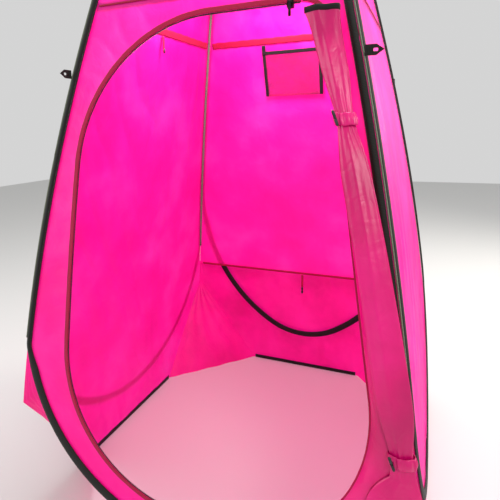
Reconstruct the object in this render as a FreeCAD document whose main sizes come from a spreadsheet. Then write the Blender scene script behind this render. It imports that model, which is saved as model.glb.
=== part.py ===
"""Pop-up changing tent: four spring-steel hoops in fabric walls, with a tied-back front door.

Millimetres, +Z up, origin at the middle of the footprint on the floor, door facing -Y.
Every wall is a patch of one large cylinder, so its half width is half(z) at height z.
Walls, hoops and sleeves are drawn for the front (facing -Y) and turned about Z for the others.
"""
import FreeCAD
import Part
import Sketcher
import math
import os
from FreeCAD import Placement, Rotation, Vector

doc = FreeCAD.newDocument("changing_tent")

# ---------------------------------------------------------------- driving dimensions
DIMENSIONS = {
    "wall_radius": 8720,        # radius of the bowed wall surface
    "wall_centre_out": 8048,    # its centre lies this far beyond the tent's axis
    "wall_centre_drop": 764,    # and this far below the floor
    "slab_width": 1500,         # blank width before a wall is trimmed
    "slab_top": 1960,
    "fabric_thick": 3,
    "seam_height": 1600,        # roof seam
    "crown_height": 1890,       # top of the hoops
    "crown_radius": 620,
    "shoulder_radius": 170,
    "gusset_top": 450,          # corner gussets start here
    "hem_half": 290,            # half length of each hem on the floor
    "gusset_foot": 250,         # front gussets run along the front hoop to this x
    "fabric_inset": 6,          # wall fabric stops this far inside the corner line
    "sleeve_width": 26,
    "sleeve_inner": 1.8,        # sleeve and channel depths outside the fabric's middle
    "sleeve_outer": 8,
    "channel_outer": 6.4,
    "channel_margin": 5,
    "strip_inset": 9,           # spring-steel strip
    "strip_width": 8,
    "strip_inner": 3,
    "strip_outer": 5.5,
    "low_leave": 660,           # front and side hoops leave the corner here
    "low_radius": 560,
    "low_bottom": 152,
    "back_leave": 1000,         # back hoop has a narrower foot
    "back_radius": 330,
    "back_bottom": 195,
    "skirt_seam": 565,          # back wall and skirt meet here
    "skirt_inner": 8.8,         # the skirt hangs outside the hoop sleeve
    "hem_height": 20,
    "tape_thick": 1.5,
    "tape_gap": 0.7,
    "seam_tape_height": 22,
    "binding_reach": 12,
    "door_top": 1545,
    "door_bottom": 255,
    "door_left_radius": 395,
    "door_left_low": 650,
    "door_shoulder_radius": 382,
    "door_shoulder_x": 20,
    "door_corner_x": 245,
    "door_corner_radius": 70,
    "door_right_x": 100,
    "door_right_radius": 370,
    "zip_tape_width": 13,
    "coil_width": 3.6,
    "bundle_top": 1512,
    "bundle_bottom": 258,
    "bundle_gap_top": 63,       # bundle axis to the corner line, at its top
    "bundle_gap_low": 20,       # and at the lower tie
    "bundle_stand_off": 34,     # bundle axis outside the wall surface
    "bundle_half_width": 28,    # at its top
    "bundle_widen": 12,         # wider by this at the lower tie
    "bundle_half_depth": 20,
    "bundle_spread": 30,        # extra half width at the loose foot
    "tie_upper": 1290,
    "tie_lower": 600,
    "tie_height": 34,
    "tie_thick": 2,
    "tie_neck": 0.60,           # the bundle is this much narrower in a tie
    "toggle_length": 34,
    "toggle_radius": 3.2,
    "pocket_left": -132,
    "pocket_right": 107,
    "pocket_bottom": 1400,
    "pocket_mouth": 1566,
    "pocket_depth": 10,
    "pocket_tape": 12,
    "guy_height": 1428,
    "guy_length": 40,
    "guy_width": 22,
    "web_thick": 2.4,
    "peg_length": 44,
    "peg_width": 26,
    "left_tab_length": 50,
    "back_tab_length": 62,
    "tab_width": 11,
    "slider_length": 15,
    "pull_length": 32,
    "pull_width": 6.4,
}

sheet = doc.addObject("Spreadsheet::Sheet", "dims")
for row, (alias, value) in enumerate(DIMENSIONS.items(), 1):
    sheet.set(f"A{row}", alias)
    sheet.set(f"B{row}", str(value))
    sheet.setAlias(f"B{row}", alias)
doc.recompute()


def dim(alias):
    """Value of one sheet cell, in millimetres."""
    return float(sheet.get(alias))


R = dim("wall_radius")
OUT = dim("wall_centre_out")
DROP = dim("wall_centre_drop")
SIDES = {"front": 0, "right": 90, "back": 180, "left": 270}
NODES = {}


def half(z):
    """Half width of the tent at height z."""
    return math.sqrt(R ** 2 - (z + DROP) ** 2) - OUT


def lean(z):
    """Inward lean of the wall at height z, in degrees from upright."""
    return math.degrees(math.asin((z + DROP) / R))


def keep(name, obj):
    """Register a finished document object as the node called name."""
    obj.Label = name
    NODES[name] = obj
    return obj


def turned(side):
    """Placement that turns a front piece to the named side."""
    return Placement(Vector(), Rotation(Vector(0, 0, 1), SIDES[side]))


def on_wall(side, u, z):
    """Placement of a frame on a wall: local -Y points out of it and local Z up along it."""
    seat = Placement(Vector(u, -half(z), z), Rotation(Vector(1, 0, 0), -lean(z)))
    return turned(side).multiply(seat)


# ---------------------------------------------------------------- outlines in the front view
def circle_point(centre, radius, towards):
    """Point of a circle in the direction of another point."""
    dx, dz = towards[0] - centre[0], towards[1] - centre[1]
    size = math.hypot(dx, dz)
    return (centre[0] + radius * dx / size, centre[1] + radius * dz / size)


def arc(centre, radius, start, end):
    """Arc from start to end as start, middle and end points, the short way round."""
    middle = circle_point(centre, radius, ((start[0] + end[0]) / 2, (start[1] + end[1]) / 2))
    return (start, middle, end)


def mirrored(path):
    """The same path on the other side of the axis, in reverse order."""
    return [tuple((-x, z) for x, z in reversed(item)) for item in reversed(path)]


def hoop_parts(low):
    """Centres and radii of one side of a hoop line: foot, flank, side, shoulder and crown."""
    leave, radius, bottom = (dim(f"{low}_{word}") for word in ("leave", "radius", "bottom"))
    side = (-OUT, -DROP)
    start = (half(leave), leave)
    foot = (0, bottom + radius)
    inward = ((side[0] - start[0]) / R, (side[1] - start[1]) / R)
    dx, dz = start[0], start[1] - foot[1]
    flank_radius = (radius ** 2 - dx ** 2 - dz ** 2) / (2 * (dx * inward[0] + dz * inward[1] + radius))
    flank = (start[0] + inward[0] * flank_radius, start[1] + inward[1] * flank_radius)
    crown_radius, shoulder_radius = dim("crown_radius"), dim("shoulder_radius")
    crown = (0, dim("crown_height") - crown_radius)
    shoulder = circles_meet(side, R - shoulder_radius, crown, crown_radius - shoulder_radius)
    return {"foot": (foot, radius), "flank": (flank, flank_radius), "side": (side, R),
            "shoulder": (shoulder, shoulder_radius), "crown": (crown, crown_radius), "start": start}


def circles_meet(first, first_radius, second, second_radius):
    """Upper right point where two circles meet."""
    dx, dz = second[0] - first[0], second[1] - first[1]
    gap = math.hypot(dx, dz)
    along = (first_radius ** 2 - second_radius ** 2 + gap ** 2) / (2 * gap)
    across = math.sqrt(first_radius ** 2 - along ** 2)
    base = (first[0] + along * dx / gap, first[1] + along * dz / gap)
    options = [(base[0] - sign * across * dz / gap, base[1] + sign * across * dx / gap) for sign in (1, -1)]
    return max(options, key=lambda point: point[0] + point[1])


def hoop_points(low, inset):
    """Tangent points of a hoop line, moved inwards by inset."""
    p = hoop_parts(low)
    (foot, foot_r), (flank, flank_r), (side, side_r) = p["foot"], p["flank"], p["side"]
    (shoulder, shoulder_r), (crown, crown_r) = p["shoulder"], p["crown"]
    beyond = (2 * foot[0] - flank[0], 2 * foot[1] - flank[1])
    joint = circle_point(flank, flank_r - inset, beyond if flank_r > foot_r else foot)
    if flank_r < foot_r:
        joint = circle_point(foot, foot_r - inset, flank)
    return {"bottom": (0, foot[1] - foot_r + inset), "joint": joint,
            "leave": circle_point(side, side_r - inset, p["start"]),
            "spring": circle_point(side, side_r - inset, shoulder),
            "haunch": circle_point(crown, crown_r - inset, shoulder),
            "top": (0, crown[1] + crown_r - inset)}


def hoop_outline(low, inset):
    """Closed hoop line: four arcs a side, counter-clockwise from the bottom."""
    p, q = hoop_parts(low), hoop_points(low, inset)
    right = [arc(p["foot"][0], p["foot"][1] - inset, q["bottom"], q["joint"]),
             arc(p["flank"][0], p["flank"][1] - inset, q["joint"], q["leave"]),
             arc(p["side"][0], p["side"][1] - inset, q["leave"], q["spring"]),
             arc(p["shoulder"][0], p["shoulder"][1] - inset, q["spring"], q["haunch"]),
             arc(p["crown"][0], p["crown"][1] - inset, q["haunch"], q["top"])]
    return right + mirrored(right)


def side_point(z, inset):
    """Point of the side line at height z, moved inwards."""
    return (math.sqrt((R - inset) ** 2 - (z + DROP) ** 2) - OUT, z)


def side_arc(low_z, high_z, inset):
    return arc((-OUT, -DROP), R - inset, side_point(low_z, inset), side_point(high_z, inset))


def panel_outline(low_z, high_z, inset):
    """Wall panel between two heights, with its lower corners cut when it reaches the floor."""
    if low_z > 0:
        right = [(( 0, low_z), side_point(low_z, inset)), side_arc(low_z, high_z, inset)]
    else:
        hem = (dim("hem_half"), 0)
        knee = side_point(dim("gusset_top"), inset)
        right = [((0, 0), hem), (hem, knee), side_arc(knee[1], high_z, inset)]
    right.append((side_point(high_z, inset), (0, high_z)))
    return right + mirrored(right)


def front_outline(inset):
    """Front wall below the roof seam: it ends at its hoop, not at the floor."""
    p, q = hoop_parts("low"), hoop_points("low", inset)
    seam = dim("seam_height")
    right = [arc(p["foot"][0], p["foot"][1] - inset, q["bottom"], q["joint"]),
             arc(p["flank"][0], p["flank"][1] - inset, q["joint"], q["leave"]),
             arc((-OUT, -DROP), R - inset, q["leave"], side_point(seam, inset)),
             (side_point(seam, inset), (0, seam))]
    return right + mirrored(right)


def gable_outline(inset):
    """Wall above the roof seam, up to the hoop's crown."""
    p, q = hoop_parts("low"), hoop_points("low", inset)
    base = dim("seam_height") + 0.5
    right = [((0, base), side_point(base, inset)),
             arc((-OUT, -DROP), R - inset, side_point(base, inset), q["spring"]),
             arc(p["shoulder"][0], p["shoulder"][1] - inset, q["spring"], q["haunch"]),
             arc(p["crown"][0], p["crown"][1] - inset, q["haunch"], q["top"])]
    return right + mirrored(right)


def rounded_outline(circles, grow):
    """Outer line round a ring of circles given counter-clockwise, all grown by the same amount."""
    ends = []
    for (x1, z1, r1), (x2, z2, r2) in zip(circles, circles[1:] + circles[:1]):
        gap, heading = math.hypot(x2 - x1, z2 - z1), math.atan2(z2 - z1, x2 - x1)
        normal = heading - math.acos((r1 - r2) / gap)
        ends.append([(x + (r + grow) * math.cos(normal), z + (r + grow) * math.sin(normal))
                     for x, z, r in ((x1, z1, r1), (x2, z2, r2))])
    path = []
    for index, (x, z, r) in enumerate(circles):
        arrive, leave = ends[index - 1][1], ends[index][0]
        first = math.atan2(arrive[1] - z, arrive[0] - x)
        turn = (math.atan2(leave[1] - z, leave[0] - x) - first) % (2 * math.pi)
        middle = (x + (r + grow) * math.cos(first + turn / 2), z + (r + grow) * math.sin(first + turn / 2))
        path.append((arrive, middle, leave))
        path.append(tuple(ends[index]))
    return path


def door_outline(grow):
    """Door opening: round on the zip side and nearly straight along the hinge side."""
    top, bottom = dim("door_top"), dim("door_bottom")
    left_r, shoulder_r = dim("door_left_radius"), dim("door_shoulder_radius")
    corner_r, right_r = dim("door_corner_radius"), dim("door_right_radius")
    circles = [(dim("door_right_x"), bottom + right_r, right_r),
               (dim("door_corner_x"), top - corner_r, corner_r),
               (dim("door_shoulder_x"), top - shoulder_r, shoulder_r),
               (0, dim("door_left_low"), left_r)]
    return rounded_outline(circles, grow)


# ---------------------------------------------------------------- sketch and body helpers
def base_plane(body, role):
    return next(plane for plane in body.Origin.OriginFeatures if plane.Role == role)


def add_sketch(body, name, role):
    sketch = body.newObject("Sketcher::SketchObject", name)
    sketch.AttachmentSupport = [(base_plane(body, role), "")]
    sketch.MapMode = "FlatFace"
    return sketch


def add_loop(sketch, path):
    """Draw a closed path of lines and arcs and join its ends."""
    ids = []
    for item in path:
        points = [Vector(x, z, 0) for x, z in item]
        curve = Part.LineSegment(*points) if len(points) == 2 else Part.Arc(*points)
        ids.append(sketch.addGeometry(curve, False))
    for here, there, item in zip(ids, ids[1:] + ids[:1], path):
        corner = Vector(item[-1][0], item[-1][1], 0)
        ends = [min((1, 2), key=lambda k: (sketch.getPoint(i, k) - corner).Length) for i in (here, there)]
        sketch.addConstraint(Sketcher.Constraint("Coincident", here, ends[0], there, ends[1]))
    return ids


def drive(sketch, kind, ids, expression, value):
    """Add a dimension to a sketch and bind it to the sheet."""
    index = sketch.addConstraint(Sketcher.Constraint(kind, *ids, value))
    sketch.setExpression(f"Constraints[{index}]", expression)


def slab_body(name, inner, outer, width="dims.slab_width"):
    """Blank of a wall: the bowed profile between two depths, padded across the tent."""
    body = doc.addObject("PartDesign::Body", name)
    profile = add_sketch(body, f"{name}_profile", "YZ_Plane")
    top = dim("slab_top")
    ends = []
    for depth in (inner, outer):
        reach = R + dim_of(depth)
        low, high = ((OUT - math.sqrt(reach ** 2 - (z + DROP) ** 2), z) for z in (0, top))
        ends.append((low, circle_point((OUT, -DROP), reach, (low[0], (low[1] + high[1]) / 2)), high))
    inner_arc, outer_arc = ends
    ids = add_loop(profile, [outer_arc, (outer_arc[2], inner_arc[2]),
                             tuple(reversed(inner_arc)), (inner_arc[0], outer_arc[0])])
    for depth, curve in ((outer, ids[0]), (inner, ids[2])):
        drive(profile, "Radius", (curve,), f"dims.wall_radius + ({depth})", R + dim_of(depth))
        drive(profile, "DistanceX", (curve, 3), "dims.wall_centre_out", OUT)
        drive(profile, "DistanceY", (curve, 3), "-dims.wall_centre_drop", -DROP)
    pad = body.newObject("PartDesign::Pad", f"{name}_pad")
    pad.Profile = profile
    pad.SideType = "Symmetric"
    pad.setExpression("Length", width)
    return body


def dim_of(expression):
    """Number that a short sheet expression stands for, in millimetres."""
    return float(sum_terms(expression))


def sum_terms(expression):
    """Add up the terms of an expression such as dims.a + dims.b - 2 or -dims.a."""
    total, sign = 0.0, 1
    for word in expression.replace("/ 2", "/2").split():
        if word in "+-":
            sign = -1 if word == "-" else 1
            continue
        if word.startswith("-"):
            sign, word = -1, word[1:]
        share = 2 if word.endswith("/2") else 1
        word = word.removesuffix("/2")
        total += sign * (dim(word[5:]) if word.startswith("dims.") else float(word)) / share
    return total


def pocket(body, name, loops):
    """Cut the region between the loops straight through, and check that something went."""
    doc.recompute()
    before = body.Shape.Volume
    sketch = add_sketch(body, f"{name}_sketch", "XZ_Plane")
    for loop in loops:
        add_loop(sketch, loop)
    cut = body.newObject("PartDesign::Pocket", name)
    cut.Profile = sketch
    cut.Type = "ThroughAll"
    cut.SideType = "Symmetric"
    doc.recompute()
    if not 0 < body.Shape.Volume < before - 1:
        raise RuntimeError(f"{name} cut nothing")
    return sketch


def frame_loop():
    """Rectangle larger than any blank."""
    x, low, high = dim("slab_width"), -100, dim("slab_top") + 200
    corners = [(-x, low), (x, low), (x, high), (-x, high)]
    return list(zip(corners, corners[1:] + corners[:1]))


def panel(name, inner, outer, outline, hole=None):
    """A bowed panel trimmed to an outline, with an optional hole."""
    body = slab_body(name, inner, outer)
    pocket(body, f"{name}_trim", [frame_loop(), outline])
    if hole:
        pocket(body, f"{name}_hole", [hole])
    return body


def solid_cut(name, base, tool):
    cut = doc.addObject("Part::Cut", name)
    cut.Base = base
    cut.Tool = tool
    return cut


def feature(name, shape, placement=None):
    """A surface piece that neither sketches nor primitives can make."""
    obj = doc.addObject("Part::Feature", name)
    obj.Shape = shape
    obj.Placement = placement or Placement()
    return obj


def cell_box(name, sizes, corner, placement):
    """Part::Box with its three sizes bound to the sheet, cornered at a local point."""
    box = doc.addObject("Part::Box", name)
    for prop, expression in zip(("Length", "Width", "Height"), sizes):
        box.setExpression(prop, expression)
    box.Placement = placement.multiply(Placement(corner, Rotation()))
    return box


HALF_FABRIC = "dims.fabric_thick/2"

# ---------------------------------------------------------------- walls, roof seam to floor
seam = dim("seam_height")
inset = dim("fabric_inset")
front = panel("wall_front", "-" + HALF_FABRIC, HALF_FABRIC, front_outline(inset), door_outline(0))
keep("wall_front", front)
for side in ("left", "right"):
    wall = panel(f"wall_{side}", "-" + HALF_FABRIC, HALF_FABRIC, panel_outline(0, seam, inset))
    wall.Placement = turned(side)
    keep(f"wall_{side}", wall)
back = panel("wall_back", "-" + HALF_FABRIC, HALF_FABRIC, panel_outline(dim("skirt_seam"), seam, inset))
back.Placement = turned("back")
keep("wall_back", back)
skirt = panel("back_skirt", "dims.skirt_inner", "dims.skirt_inner + dims.fabric_thick",
              panel_outline(0, dim("skirt_seam") + 12, inset))
skirt.Placement = turned("back")
keep("back_skirt", skirt)

# ---------------------------------------------------------------- gables above the roof seam
for side in SIDES:
    gable = panel(f"gable_{side}", "-" + HALF_FABRIC, HALF_FABRIC, gable_outline(inset))
    gable.Placement = turned(side)
    keep(f"gable_{side}", gable)

# ---------------------------------------------------------------- hoops and their sleeves
ferrules = []
for side in SIDES:
    low = "back" if side == "back" else "low"
    edge = dim("strip_inset")
    hoop = panel(f"hoop_{side}", "dims.strip_inner", "dims.strip_outer",
                 hoop_outline(low, edge), hoop_outline(low, edge + dim("strip_width")))
    hoop.Placement = turned(side)
    keep(f"hoop_{side}", hoop)

    margin = dim("channel_margin")
    width = dim("sleeve_width")
    tape = panel(f"tape_{side}", "dims.sleeve_inner", "dims.sleeve_outer",
                 hoop_outline(low, 0), hoop_outline(low, width))
    channel = panel(f"channel_{side}", "dims.sleeve_inner - 1", "dims.channel_outer",
                    hoop_outline(low, margin), hoop_outline(low, width - margin))
    sleeve = solid_cut(f"sleeve_{side}", tape, channel)
    sleeve.Placement = turned(side)
    keep(f"sleeve_{side}", sleeve)

    shell = slab_body(f"ferrule_shell_{side}", "dims.strip_inner - 0.6", "dims.strip_outer + 0.6",
                      width="40")
    pocket(shell, f"ferrule_trim_{side}", [frame_loop(), hoop_outline(low, edge - 2)])
    pocket(shell, f"ferrule_hole_{side}", [hoop_outline(low, edge + dim("strip_width") + 2)])
    bore = panel(f"ferrule_bore_{side}", "dims.strip_inner - 0.2", "dims.strip_outer + 0.2",
                 hoop_outline(low, edge - 0.6), hoop_outline(low, edge + dim("strip_width") + 0.6))
    ferrule = solid_cut(f"ferrule_{side}", shell, bore)
    ferrule.Placement = turned(side)
    doc.recompute()
    lowest = min(ferrule.Shape.Solids, key=lambda solid: solid.BoundBox.ZMin)
    ferrules.append(lowest)
keep("hoop_ferrules", feature("hoop_ferrules", Part.makeCompound(ferrules)))


# ---------------------------------------------------------------- ruled corner pieces
def wall_point(u, z, out=0):
    """Point in space on the front wall surface at u and z."""
    return Vector(u, -half(z) - out, z)


def side_wall_point(u, z, out=0):
    """The same point on the right wall, mirrored across the corner."""
    return Vector(half(z) + out, -u, z)


def sampled(path, steps):
    """Evenly spaced points along a path of lines and arcs."""
    wire = Part.Wire([Part.LineSegment(*(Vector(x, z, 0) for x, z in item)).toShape() if len(item) == 2
                      else Part.Arc(*(Vector(x, z, 0) for x, z in item)).toShape() for item in path])
    return [(point.x, point.y) for point in wire.discretize(steps)]


def spline(points):
    curve = Part.BSplineCurve()
    curve.interpolate(points)
    return curve.toShape()


def corner_panel(first, second, push):
    """Solid between two edges of neighbouring walls, given thickness by a push."""
    return Part.makeRuledSurface(spline(first), spline(second)).extrude(push)


CORNERS = {"front_right": (1, -1), "back_right": (1, 1), "back_left": (-1, 1), "front_left": (-1, -1)}


CORNER_SIDES = {"front_right": "front", "back_right": "right", "back_left": "back", "front_left": "left"}


def place_corner(name, corner, shape):
    """Turn a piece made at the front right to its own corner."""
    return keep(name, feature(name, shape, turned(CORNER_SIDES[corner])))


EDGE_GAP = 2                    # corner panels start this far inside the corner line
HEM_GAP = 6                     # and this far beyond the end of a hem
GORE_GAP = 3                    # roof gores stop this far from the middle of a hoop
GUSSET_PUSH = Vector(-2, 2, 0)
GORE_PUSH = Vector(-1.5, 1.5, -2.5)
GUSSET_STEPS = 15
GORE_STEPS = 17

hem_half = dim("hem_half")
gusset_top = dim("gusset_top")
line = hoop_parts("low")
tangent = hoop_points("low", EDGE_GAP)

# Front gussets: from the foot of the front hoop back to the side wall's cut corner.
foot_centre, foot_radius = line["foot"][0], line["foot"][1] - EDGE_GAP
foot_reach = dim("gusset_foot")
foot_end = (foot_reach, foot_centre[1] - math.sqrt(foot_radius ** 2 - foot_reach ** 2))
front_path = [arc(line["flank"][0], line["flank"][1] - EDGE_GAP, tangent["leave"], tangent["joint"]),
              arc(foot_centre, foot_radius, tangent["joint"], foot_end)]
knee = side_point(gusset_top, EDGE_GAP)
hem_end = (hem_half + HEM_GAP, 0)
wall_path = [tuple(reversed(side_arc(gusset_top, dim("low_leave"), EDGE_GAP))), (knee, hem_end)]
front_edge = [wall_point(u, z) for u, z in sampled(front_path, GUSSET_STEPS)]
side_edge = [side_wall_point(u, z) for u, z in sampled(wall_path, GUSSET_STEPS)]
front_gusset = corner_panel(front_edge, side_edge, GUSSET_PUSH)
across = Vector(1, 0, 0)
keep("gusset_front_right", feature("gusset_front_right", front_gusset))
keep("gusset_front_left", feature("gusset_front_left", front_gusset.mirror(Vector(), across)))

# Rear gussets: between a side wall and the skirt, which hangs outside the back hoop.
skirt_middle = dim("skirt_inner") + dim("fabric_thick") / 2
rear_line = sampled([(knee, hem_end)], GUSSET_STEPS)
rear_gusset = corner_panel([wall_point(u, z, skirt_middle) for u, z in rear_line],
                           [side_wall_point(u, z) for u, z in rear_line], GUSSET_PUSH)
keep("gusset_back_left", feature("gusset_back_left", rear_gusset, turned("back")))
keep("gusset_back_right", feature("gusset_back_right", rear_gusset.mirror(Vector(), across), turned("back")))

# Roof gores: between the shoulders and crowns of neighbouring hoops.
crown_centre, crown_line = line["crown"][0], line["crown"][1] - EDGE_GAP
gore_end = (GORE_GAP, crown_centre[1] + math.sqrt(crown_line ** 2 - GORE_GAP ** 2))
gore_path = [arc(line["shoulder"][0], line["shoulder"][1] - EDGE_GAP, tangent["spring"], tangent["haunch"]),
             arc(crown_centre, crown_line, tangent["haunch"], gore_end)]
gore_points = sampled(gore_path, GORE_STEPS)
gore = corner_panel([wall_point(u, z) for u, z in gore_points],
                    [side_wall_point(u, z) for u, z in gore_points], GORE_PUSH)
for corner in CORNERS:
    place_corner(f"roof_gore_{corner}", corner, gore)

# ---------------------------------------------------------------- roof crown between the hoops
crown_reach = half(dim("crown_height")) - dim("fabric_inset")
crown_level = dim("crown_height") - EDGE_GAP
corners = [(0, -crown_reach), (crown_reach, 0), (0, crown_reach), (-crown_reach, 0)]
crown_body = doc.addObject("PartDesign::Body", "roof_crown")
crown_sketch = add_sketch(crown_body, "roof_crown_sketch", "XY_Plane")
add_loop(crown_sketch, list(zip(corners, corners[1:] + corners[:1])))
crown_pad = crown_body.newObject("PartDesign::Pad", "roof_crown_pad")
crown_pad.Profile = crown_sketch
crown_pad.setExpression("Length", "dims.fabric_thick")
crown_body.Placement = Placement(Vector(0, 0, crown_level - dim("fabric_thick")), Rotation())
keep("roof_crown", crown_body)

# ---------------------------------------------------------------- tapes inside the walls
IN_NEAR = "-dims.fabric_thick/2 - dims.tape_gap"
IN_FAR = "-dims.fabric_thick/2 - dims.tape_gap - dims.tape_thick"


def band_outline(low_z, high_z, half_length):
    """Rectangle across a wall, centred on its axis."""
    corners = [(-half_length, low_z), (half_length, low_z), (half_length, high_z), (-half_length, high_z)]
    return list(zip(corners, corners[1:] + corners[:1]))


reach = side_point(seam, dim("binding_reach") + 6)[0]
seam_half = dim("seam_tape_height") / 2
for side in SIDES:
    tape = panel(f"roof_tape_{side}", IN_FAR, IN_NEAR, band_outline(seam - seam_half, seam + seam_half, reach))
    tape.Placement = turned(side)
    keep(f"roof_seam_tape_{side}", tape)
for side in ("left", "right"):
    hem = panel(f"hem_{side}", IN_FAR, IN_NEAR, band_outline(2, 2 + dim("hem_height"), hem_half - 8))
    hem.Placement = turned(side)
    keep(f"hem_tape_{side}", hem)
hem = panel("hem_back", "dims.skirt_inner - dims.tape_gap - dims.tape_thick",
            "dims.skirt_inner - dims.tape_gap", band_outline(2, 2 + dim("hem_height"), hem_half - 8))
hem.Placement = turned("back")
keep("hem_tape_back", hem)
lower = panel("skirt_seam_tape", IN_FAR, IN_NEAR,
              band_outline(dim("skirt_seam") - 1, dim("skirt_seam") + 9,
                           side_point(dim("skirt_seam"), dim("binding_reach") + 6)[0]))
lower.Placement = turned("back")
keep("skirt_seam_tape", lower)

BINDING_CLEAR = dim("fabric_thick") / 2 + 1.4
BINDING_STEPS = 8
BINDING_PUSH = Vector(-0.9, 0.9, 0)
bind_low = dim("low_leave") + 10
bind_high = hoop_points("low", 0)["spring"][1] - 6
heights = [bind_low + (bind_high - bind_low) * step / BINDING_STEPS for step in range(BINDING_STEPS + 1)]
first = [Vector(half(z) - dim("binding_reach"), -half(z) + BINDING_CLEAR, z) for z in heights]
second = [Vector(half(z) - BINDING_CLEAR, -half(z) + dim("binding_reach"), z) for z in heights]
binding = corner_panel(first, second, BINDING_PUSH)
for corner in CORNERS:
    place_corner(f"corner_binding_{corner}", corner, binding)

# ---------------------------------------------------------------- door zip on the frame side
OUT_NEAR = "dims.fabric_thick/2 + 0.3"
OUT_FAR = "dims.fabric_thick/2 + 1.6"
hinge_cut = [(dim("door_corner_x") + 12, dim("door_top") + 60), (dim("door_right_x") + 30, 150),
             (720, 150), (720, dim("door_top") + 60)]
hinge_loop = list(zip(hinge_cut, hinge_cut[1:] + hinge_cut[:1]))


def zip_band(name, inner, outer, grow_in, grow_out):
    """Ring round the door opening, left open along the hinge side."""
    body = panel(name, inner, outer, door_outline(grow_out), door_outline(grow_in))
    pocket(body, f"{name}_hinge", [hinge_loop])
    return body


tape = zip_band("door_zip_tape", OUT_NEAR, OUT_FAR, 0.8, 0.8 + dim("zip_tape_width"))
keep("door_zip_tape", tape)
coil = zip_band("door_zip_coil", "-1.2", "1.6", -0.5 - dim("coil_width"), -0.5)
keep("door_zip_coil", coil)


# ---------------------------------------------------------------- gathered door panel and ties
NECK_SPAN = 70                  # the bundle narrows over this height either side of a tie
FOOT_START = 40                 # and spreads from this far below the lower tie
FOOT_SPAN = 50                  # most of the spread comes over this height
TOP_FLARE, TOP_SPAN = 10, 40    # the bound top fans out by this much, over this height


def foot_spread(z):
    """Extra half width of the loose foot at height z."""
    below = max(0, dim("tie_lower") - FOOT_START - z)
    return dim("bundle_spread") * (1 - math.exp(-below / FOOT_SPAN))


def hang(z):
    """How far down the bundle is at height z: 0 at its top, 1 from the lower tie on."""
    return min(1, (dim("bundle_top") - z) / (dim("bundle_top") - dim("tie_lower")))


def bundle_centre(z):
    """Middle of the gathered door at height z."""
    gap = dim("bundle_gap_top") + (dim("bundle_gap_low") - dim("bundle_gap_top")) * hang(z)
    return Vector(half(z) - gap - foot_spread(z), -half(z) - dim("bundle_stand_off"), z)


def bundle_size(z):
    """Half width and half depth of the gathered door: pulled in at each tie, spread at the foot."""
    pull = max(math.exp(-((z - tie) / NECK_SPAN) ** 2) for tie in (dim("tie_upper"), dim("tie_lower")))
    squeeze = 1 - (1 - dim("tie_neck")) * pull
    width = dim("bundle_half_width") + dim("bundle_widen") * hang(z)
    flare = TOP_FLARE * math.exp(min(0, z - dim("bundle_top")) / TOP_SPAN)
    return width * squeeze + flare + foot_spread(z), dim("bundle_half_depth") * squeeze


def ellipse_wire(z, grow=0.0):
    """Outline of the gathered door at height z."""
    width, depth = bundle_size(z)
    curve = Part.Ellipse(bundle_centre(z), width + grow, depth + grow)
    return Part.Wire([curve.toShape()])


SECTIONS = 36
bundle_span = dim("bundle_top") - dim("bundle_bottom")
section_heights = [dim("bundle_bottom") + bundle_span * step / SECTIONS for step in range(SECTIONS + 1)]
bundle = Part.makeLoft([ellipse_wire(z) for z in section_heights], True, True)
keep("door_panel", feature("door_panel", bundle))

binding_low = dim("bundle_top") + 0.6
cap = Part.makeLoft([ellipse_wire(binding_low, 1.0), ellipse_wire(binding_low + 9, -1.0)], True, True)
keep("door_top_binding", feature("door_top_binding", cap))

TIE_GAP = 2.5
for word in ("upper", "lower"):
    z = dim(f"tie_{word}")
    levels = [z - dim("tie_height") / 2, z, z + dim("tie_height") / 2]
    sleeve_out = Part.makeLoft([ellipse_wire(level, TIE_GAP + dim("tie_thick")) for level in levels], True, True)
    sleeve_in = Part.makeLoft([ellipse_wire(level, TIE_GAP) for level in
                               (levels[0] - 2, levels[0], z, levels[2], levels[2] + 2)], True, True)
    keep(f"door_tie_{word}", feature(f"door_tie_{word}", sleeve_out.cut(sleeve_in)))
    width, depth = bundle_size(z)
    toggle = doc.addObject("Part::Cylinder", f"door_toggle_{word}")
    toggle.setExpression("Radius", "dims.toggle_radius")
    toggle.setExpression("Height", "dims.toggle_length")
    stand_off = depth + TIE_GAP + dim("tie_thick") + dim("toggle_radius") + 2.4
    foot = bundle_centre(z) + Vector(-width * 0.55, -stand_off, -dim("toggle_length") * 0.4)
    toggle.Placement = Placement(foot, Rotation(Vector(0, 1, 0), -22))
    keep(f"door_toggle_{word}", toggle)


# ---------------------------------------------------------------- zip sliders and pull tabs
def union(name, members):
    fuse = doc.addObject("Part::MultiFuse", name)
    fuse.Shapes = members
    return fuse


PIN_OUT = 9.6                   # the pull's pin stands this far out of the wall, so that the pull clears it
PIN_DOWN = 2                    # and this far towards the zip tape
CHEEK_FROM = 5.2                # the two cheeks that hold it start inside the outer plate


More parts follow.
